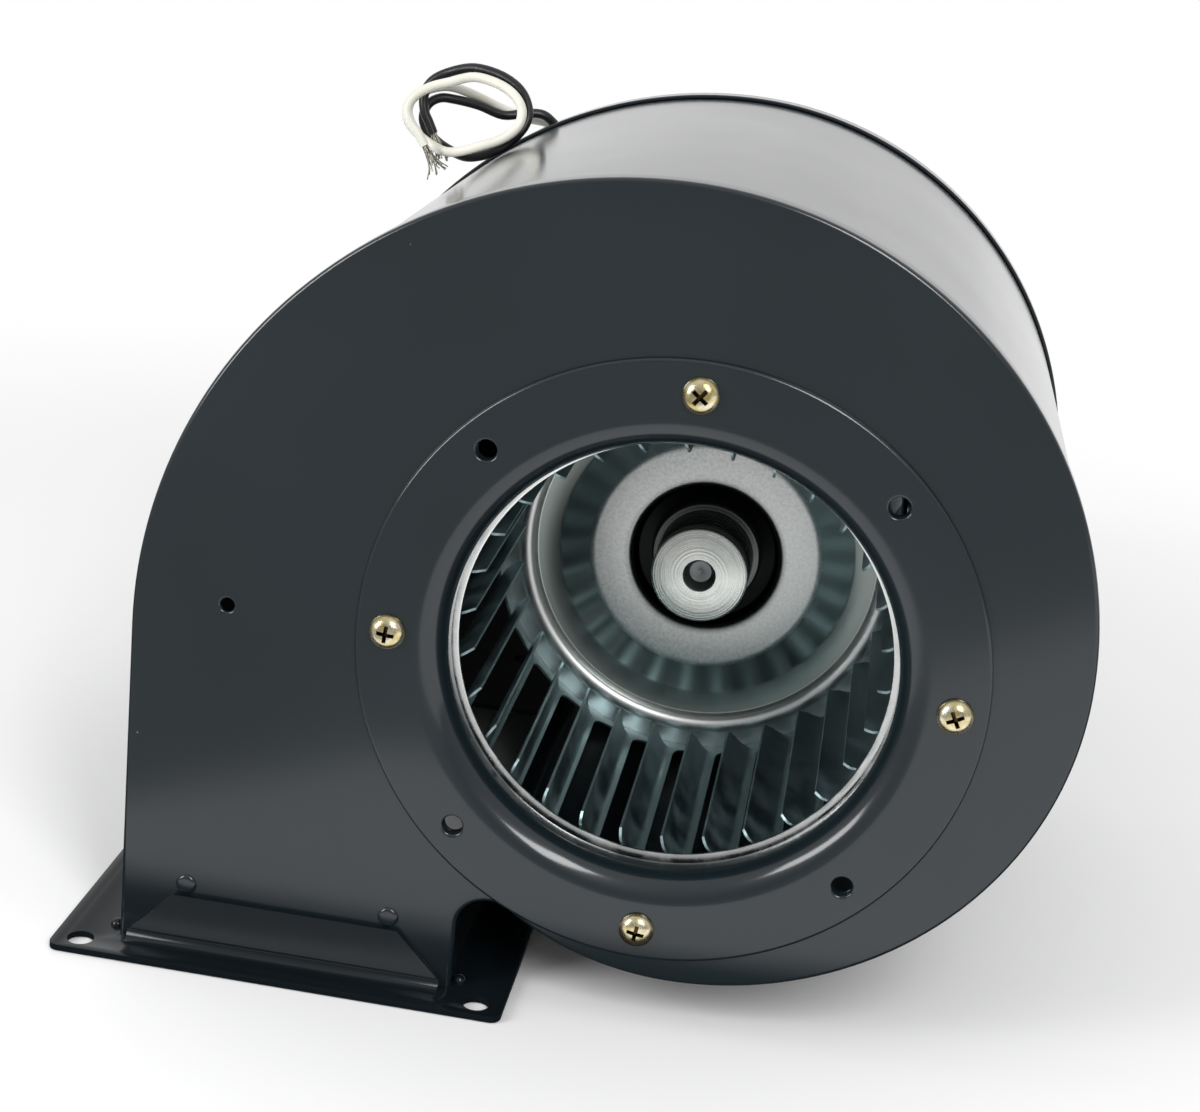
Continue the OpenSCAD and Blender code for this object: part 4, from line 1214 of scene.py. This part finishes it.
@dataclass
class DrumWheel:
    """Louvred strip, end rings, centre plate, hub and shaft; sizes in millimetres."""

    radius: float = 54.0
    strip: float = 0.6
    strip_edge: float = 11.6
    blades: int = 30
    blade_inner: float = 46.6
    lag_deg: float = 4.8
    root_deg: float = 0.8
    bow: float = 0.9
    slot_deg: float = 9.36
    phase_deg: float = 1.4
    front: float = 12.6
    back: float = 82.5
    corner: float = 3.4
    front_chamfer: float = 1.6
    back_chamfer: float = 3.0
    back_chamfer_width: float = 2.5
    ring_front: float = 10.8
    ring_inner: float = 49.4
    ring_seat: float = 54.05
    ring_outer: float = 54.85
    ring_depth: float = 5.0
    ring_sheet: float = 0.8
    plate_sheet: float = 0.9
    hub_front: float = 68.5
    hub_back: float = 92.95
    collar: float = 14.0
    collar_front: float = 85.5
    collar_back: float = 89.0
    neck: float = 10.2
    tail: float = 12.0
    tail_front: float = 90.0
    shaft: float = 3.95
    shaft_recess: float = 3.5
    shaft_end: float = 285.4
    bore_gap: float = 0.025
    set_screw_edge: float = 0.2

    def build(self) -> None:
        """Make and dress everything that turns in the housing."""
        show("blade_strip_dressed", self._strip(), BLADE_ZINC, Body.ROTOR, "blade_strip", smooth_deg=40)
        for side in Side:
            name = side.value + "_wheel_ring"
            show(name + "_dressed", self._end_ring(side), RING_ZINC, Body.ROTOR, name)
        show("centre_plate_dressed", self._plate(), PLATE_ZINC, Body.ROTOR, "centre_plate")
        show("wheel_hub_dressed", self._hub(), HUB_STEEL, Body.ROTOR, "wheel_hub")
        show("motor_shaft_dressed", self._shaft(), SHAFT_STEEL, Body.ROTOR, "motor_shaft")
        cad_copy("hub_set_screw", BLACK_STEEL, Body.ROTOR, self.set_screw_edge)

    def _strip(self) -> Mesh:
        """All pitches of the strip, each with a slot and a blade in both rows.

        Returns:
            The strip's mesh.
        """
        one = Shape()
        self._pitch(one)
        for side in Side:
            self._blade(one, side)
        return repeated(one.mesh(TO_METRES), BLADE_ZINC, count=self.blades, radius=0.0,
                        first_angle=math.radians(self.phase_deg), twist=0.0, seed=1,
                        centre=TO_FRAME @ Vector())

    def _pitch(self, shape: Shape) -> None:
        """One pitch of the strip, unrolled, slotted, thickened and wrapped round the wheel.

        Args:
            shape: shape that takes it.
        """
        pitch = 360 / self.blades
        start, end = -self.slot_deg - (pitch - self.slot_deg) / 2, (pitch - self.slot_deg) / 2
        low, high = self.strip_edge, DEPTH - self.strip_edge
        loops = [[(start, low), (end, low), (end, high), (start, high)]]
        across = math.degrees(self.corner / self.radius)
        for y0, y1 in ((self.front, self.back), (DEPTH - self.back, DEPTH - self.front)):
            near, far = y0 + self.corner, y1 - self.corner
            loops.append([
                (x + across * math.cos(t), y + self.corner * math.sin(t))
                for x, y, turn in ((-across, near, 270), (-across, far, 0), (across - self.slot_deg, far, 90),
                                   (across - self.slot_deg, near, 180))
                for t in (math.radians(turn + 22.5 * k) for k in range(5))])
        flat = bmesh.new()
        edges = []
        for loop in loops:
            verts = [flat.verts.new((x, y, 0)) for x, y in loop]
            edges += [flat.edges.new(pair) for pair in zip(verts, verts[1:] + verts[:1])]
        bmesh.ops.triangle_fill(flat, use_beauty=True, use_dissolve=False, edges=edges, normal=(0, 0, 1))
        for k in range(1, 8):
            bmesh.ops.bisect_plane(flat, geom=flat.verts[:] + flat.edges[:] + flat.faces[:],
                                   plane_co=(start + pitch * k / 8, 0, 0), plane_no=(1, 0, 0))
        self._wrap_round(shape, flat, (start, end))
        flat.free()

    def _wrap_round(self, shape: Shape, flat: bmesh.types.BMesh, sides: Flat) -> None:
        """Copy an unrolled patch to the strip's outer and inner faces and close its edges.

        Args:
            shape: shape that takes it.
            flat: patch of angle in degrees and depth.
            sides: angles at which the next pitches join it.
        """
        walls = (self.radius, self.radius - self.strip)
        pairs = {vert: [shape.bm.verts.new(spot(r, math.radians(vert.co.x), vert.co.y)) for r in walls]
                 for vert in flat.verts}
        for face in flat.faces:
            shape.bm.faces.new([pairs[v][0] for v in face.verts])
            shape.bm.faces.new([pairs[v][1] for v in reversed(face.verts)])
        for edge in flat.edges:
            a, b = edge.verts
            joins = any(abs(a.co.x - side) < 1e-5 and abs(b.co.x - side) < 1e-5 for side in sides)
            if edge.is_boundary and not joins:
                shape.bm.faces.new((pairs[a][0], pairs[b][0], pairs[b][1], pairs[a][1]))

    def _blade(self, shape: Shape, side: Side) -> None:
        """One blade: bent inwards from the strip, bowed, with its inner corners cut off.

        Args:
            shape: shape that takes it.
            side: row of blades that it belongs to.
        """
        line = self._blade_line()
        count = len(line)
        offs = []
        for k in range(count):
            along = (line[min(k + 1, count - 1)] - line[max(k - 1, 0)]).normalized()
            offs.append(Vector((-along.y, along.x)) * self.strip / 2)
        outline = [p + off for p, off in zip(line, offs)]
        outline += [p - off for p, off in zip(line[::-1], offs[::-1])]
        rows = []
        for end, reach, width in ((self.front, self.front_chamfer, self.front_chamfer),
                                  (self.back, -self.back_chamfer, self.back_chamfer_width)):
            cut = [min(1.0, (self.blade_inner + width - p.length) / width) for p in outline]
            depths = [end + reach * max(0.0, share) for share in cut]
            rows.append([(p.x, DEPTH - y if side is Side.REAR else y, p.y) for p, y in zip(outline, depths)])
        for row in shape.rows(rows):
            for k in range(count - 1):
                shape.bm.faces.new((row[k], row[k + 1], row[2 * count - 2 - k], row[2 * count - 1 - k]))

    def _blade_line(self) -> list[Vector]:
        """Middle line of a blade's section, with a bend where it leaves the strip.

        Returns:
            Points from the strip to the blade's inner edge.
        """
        middle = self.radius - self.strip / 2
        root, tip = polar(middle, self.root_deg), polar(self.blade_inner, -self.lag_deg)
        run = tip - root
        bow = Vector((-run.y, run.x)).normalized() * self.bow
        line = [polar(middle, 2.2), polar(middle, 1.5)]
        shares = (0.06, 0.12, 0.2, 0.3, 0.42, 0.54, 0.66, 0.78, 0.9, 1)
        return line + [root + s * run + 4 * s * (1 - s) * bow for s in shares]

    def _end_ring(self, side: Side) -> Mesh:
        """Ring rolled over the strip's edge.

        Args:
            side: end of the wheel that it holds.

        Returns:
            The ring's mesh.
        """
        f, inner, seat, outer = self.ring_front, self.ring_inner, self.ring_seat, self.ring_outer
        back, under = f + self.ring_depth, f + self.ring_sheet
        shape = Shape()
        shape.lathe([(inner, f + 0.4), (inner + 0.12, f + 0.12), (inner + 0.4, f), (outer - 0.65, f),
                     (outer - 0.23, f + 0.17), (outer, f + 0.6), (outer, back - 0.2), (outer - 0.2, back),
                     (seat + 0.1, back), (seat, back - 0.2), (seat, under), (inner + 0.4, under),
                     (inner + 0.12, under - 0.12)], sides=160)
        return shape.on(side).mesh()

    def _plate(self) -> Mesh:
        """Dished plate with rounded well, flat, cone, second flat and raised ridge.

        Returns:
            The plate's mesh.
        """
        # Radius, and rise over the wheel's middle
        face = [(10.3, -2.0), (17.4, -2.0), (17.85, -1.85), (18.03, -1.5)]
        face += arc((20.5, 1.0), 2.0, 180, 90, 10)
        face += [(28.5, 3.0), (29.1, 2.96), (29.7, 2.8), (30.3, 2.55), (37.8, 0.12), (38.2, 0.02),
                 (38.6, 0.0), (43.9, 0.0), (44.2, 0.1), (44.35, 0.4)]
        face += arc((46.6, 1.2), 2.2, 172, 20, 16)
        face += [(48.8, 1.3), (49.0, 0.85), (49.5, 0.6), (53.35, 0.6)]
        points = [Vector(p) for p in face]
        back = []
        for k, point in enumerate(points):
            before = (point - points[k - 1]).normalized() if k else (points[1] - point).normalized()
            after = (points[k + 1] - point).normalized() if k < len(points) - 1 else before
            mean = (before + after).normalized()
            back.append(point + Vector((mean.y, -mean.x)) * self.plate_sheet / mean.dot(after))
        shape = Shape()
        shape.lathe([(r, DEPTH / 2 - rise) for r, rise in points + back[::-1]], sides=160)
        return shape.mesh()

    def _hub(self) -> Mesh:
        """Turned hub: faced nose, grooved barrel, collar, neck and rear flange.

        Returns:
            The hub's mesh.
        """
        f, back, bore = self.hub_front, self.hub_back, self.shaft + self.bore_gap
        collar, start, end = self.collar, self.collar_front, self.collar_back
        tail, foot = self.tail, self.tail_front
        section = [(self.shaft + 0.25, f), (HUB - 0.5, f), (HUB - 0.15, f + 0.15), (HUB, f + 0.5)]
        for y in (f + 7.0 + 2.2 * k for k in range(5)):
            section += [(HUB, y), (HUB - 0.25, y + 0.25), (HUB - 0.25, y + 0.55), (HUB, y + 0.8)]
        section += [(HUB, start - 0.1), (collar - 0.4, start), (collar, start + 0.4), (collar, end - 0.1),
                    (collar - 0.2, end), (self.neck, end), (self.neck, foot), (tail - 0.3, foot),
                    (tail, foot + 0.3), (tail, back - 0.35), (tail - 0.3, back), (self.shaft + 0.3, back),
                    (bore, back - 0.35), (bore, f + 0.25)]
        shape = Shape()
        shape.lathe(section, sides=112)
        return shape.mesh()

    def _shaft(self) -> Mesh:
        """Ground shaft with chamfered ends and a centre dimple.

        Returns:
            The shaft's mesh.
        """
        start, end, r = self.hub_front + self.shaft_recess, self.shaft_end, self.shaft
        shape = Shape()
        shape.lathe([(0.0, start + 0.3), (0.4, start + 0.25), (0.9, start), (r - 1.2, start),
                     (r, start + 1.4), (r, end - 0.5), (r - 0.5, end), (0.0, end)], sides=56, closed=False)
        return shape.mesh()


@dataclass
class RearMotor:
    """The motor, its bracket and what runs in it, with the widths of broken edges in millimetres."""

    heavy: float = 0.4
    shell: float = 0.35
    small: float = 0.25
    thin: float = 0.2
    stack: float = 0.1
    coil: float = 0.9

    def build(self) -> None:
        """Dress the motor's pieces from the joined CAD shapes."""
        still = {
            "motor_bracket": (ENAMEL, self.heavy), "front_end_bell": (SHELL_ZINC, self.shell),
            "rear_end_bell": (SHELL_ZINC, self.shell), "through_bolts": (BRIGHT_ZINC, self.small),
            "bolt_nuts": (BRIGHT_ZINC, self.small), "front_bearing": (BRONZE, self.small),
            "rear_bearing": (BRONZE, self.small), "stator_core": (LAMINATION, self.stack),
            "stator_windings": (COPPER, self.coil), "lead_grommet": (RUBBER, self.heavy),
        }
        turning = {"rotor_core": (LAMINATION, self.thin), "rotor_end_rings": (CAST_ALUMINIUM, self.heavy),
                   "thrust_washers": (NYLON, self.thin)}
        for body, group in ((Body.HOUSING, still), (Body.ROTOR, turning)):
            for node, (finish, edge) in group.items():
                cad_copy(node, finish, body, edge)


def main() -> None:
    """Build the scene in the order camera, leads, housing, wheel, motor."""
    logging.basicConfig(level=logging.INFO)
    Studio().build()
    Lead("black_lead_dressed", "black_lead", BLACK_ROUTE, BLACK_PVC, 3).build()
    Lead("white_lead_dressed", "white_lead", WHITE_ROUTE, WHITE_PVC, 5).build()
    for assembly in (ScrollHousing(), InletRings(), DrumWheel(), RearMotor()):
        assembly.build()


if __name__ == "__main__":
    main()
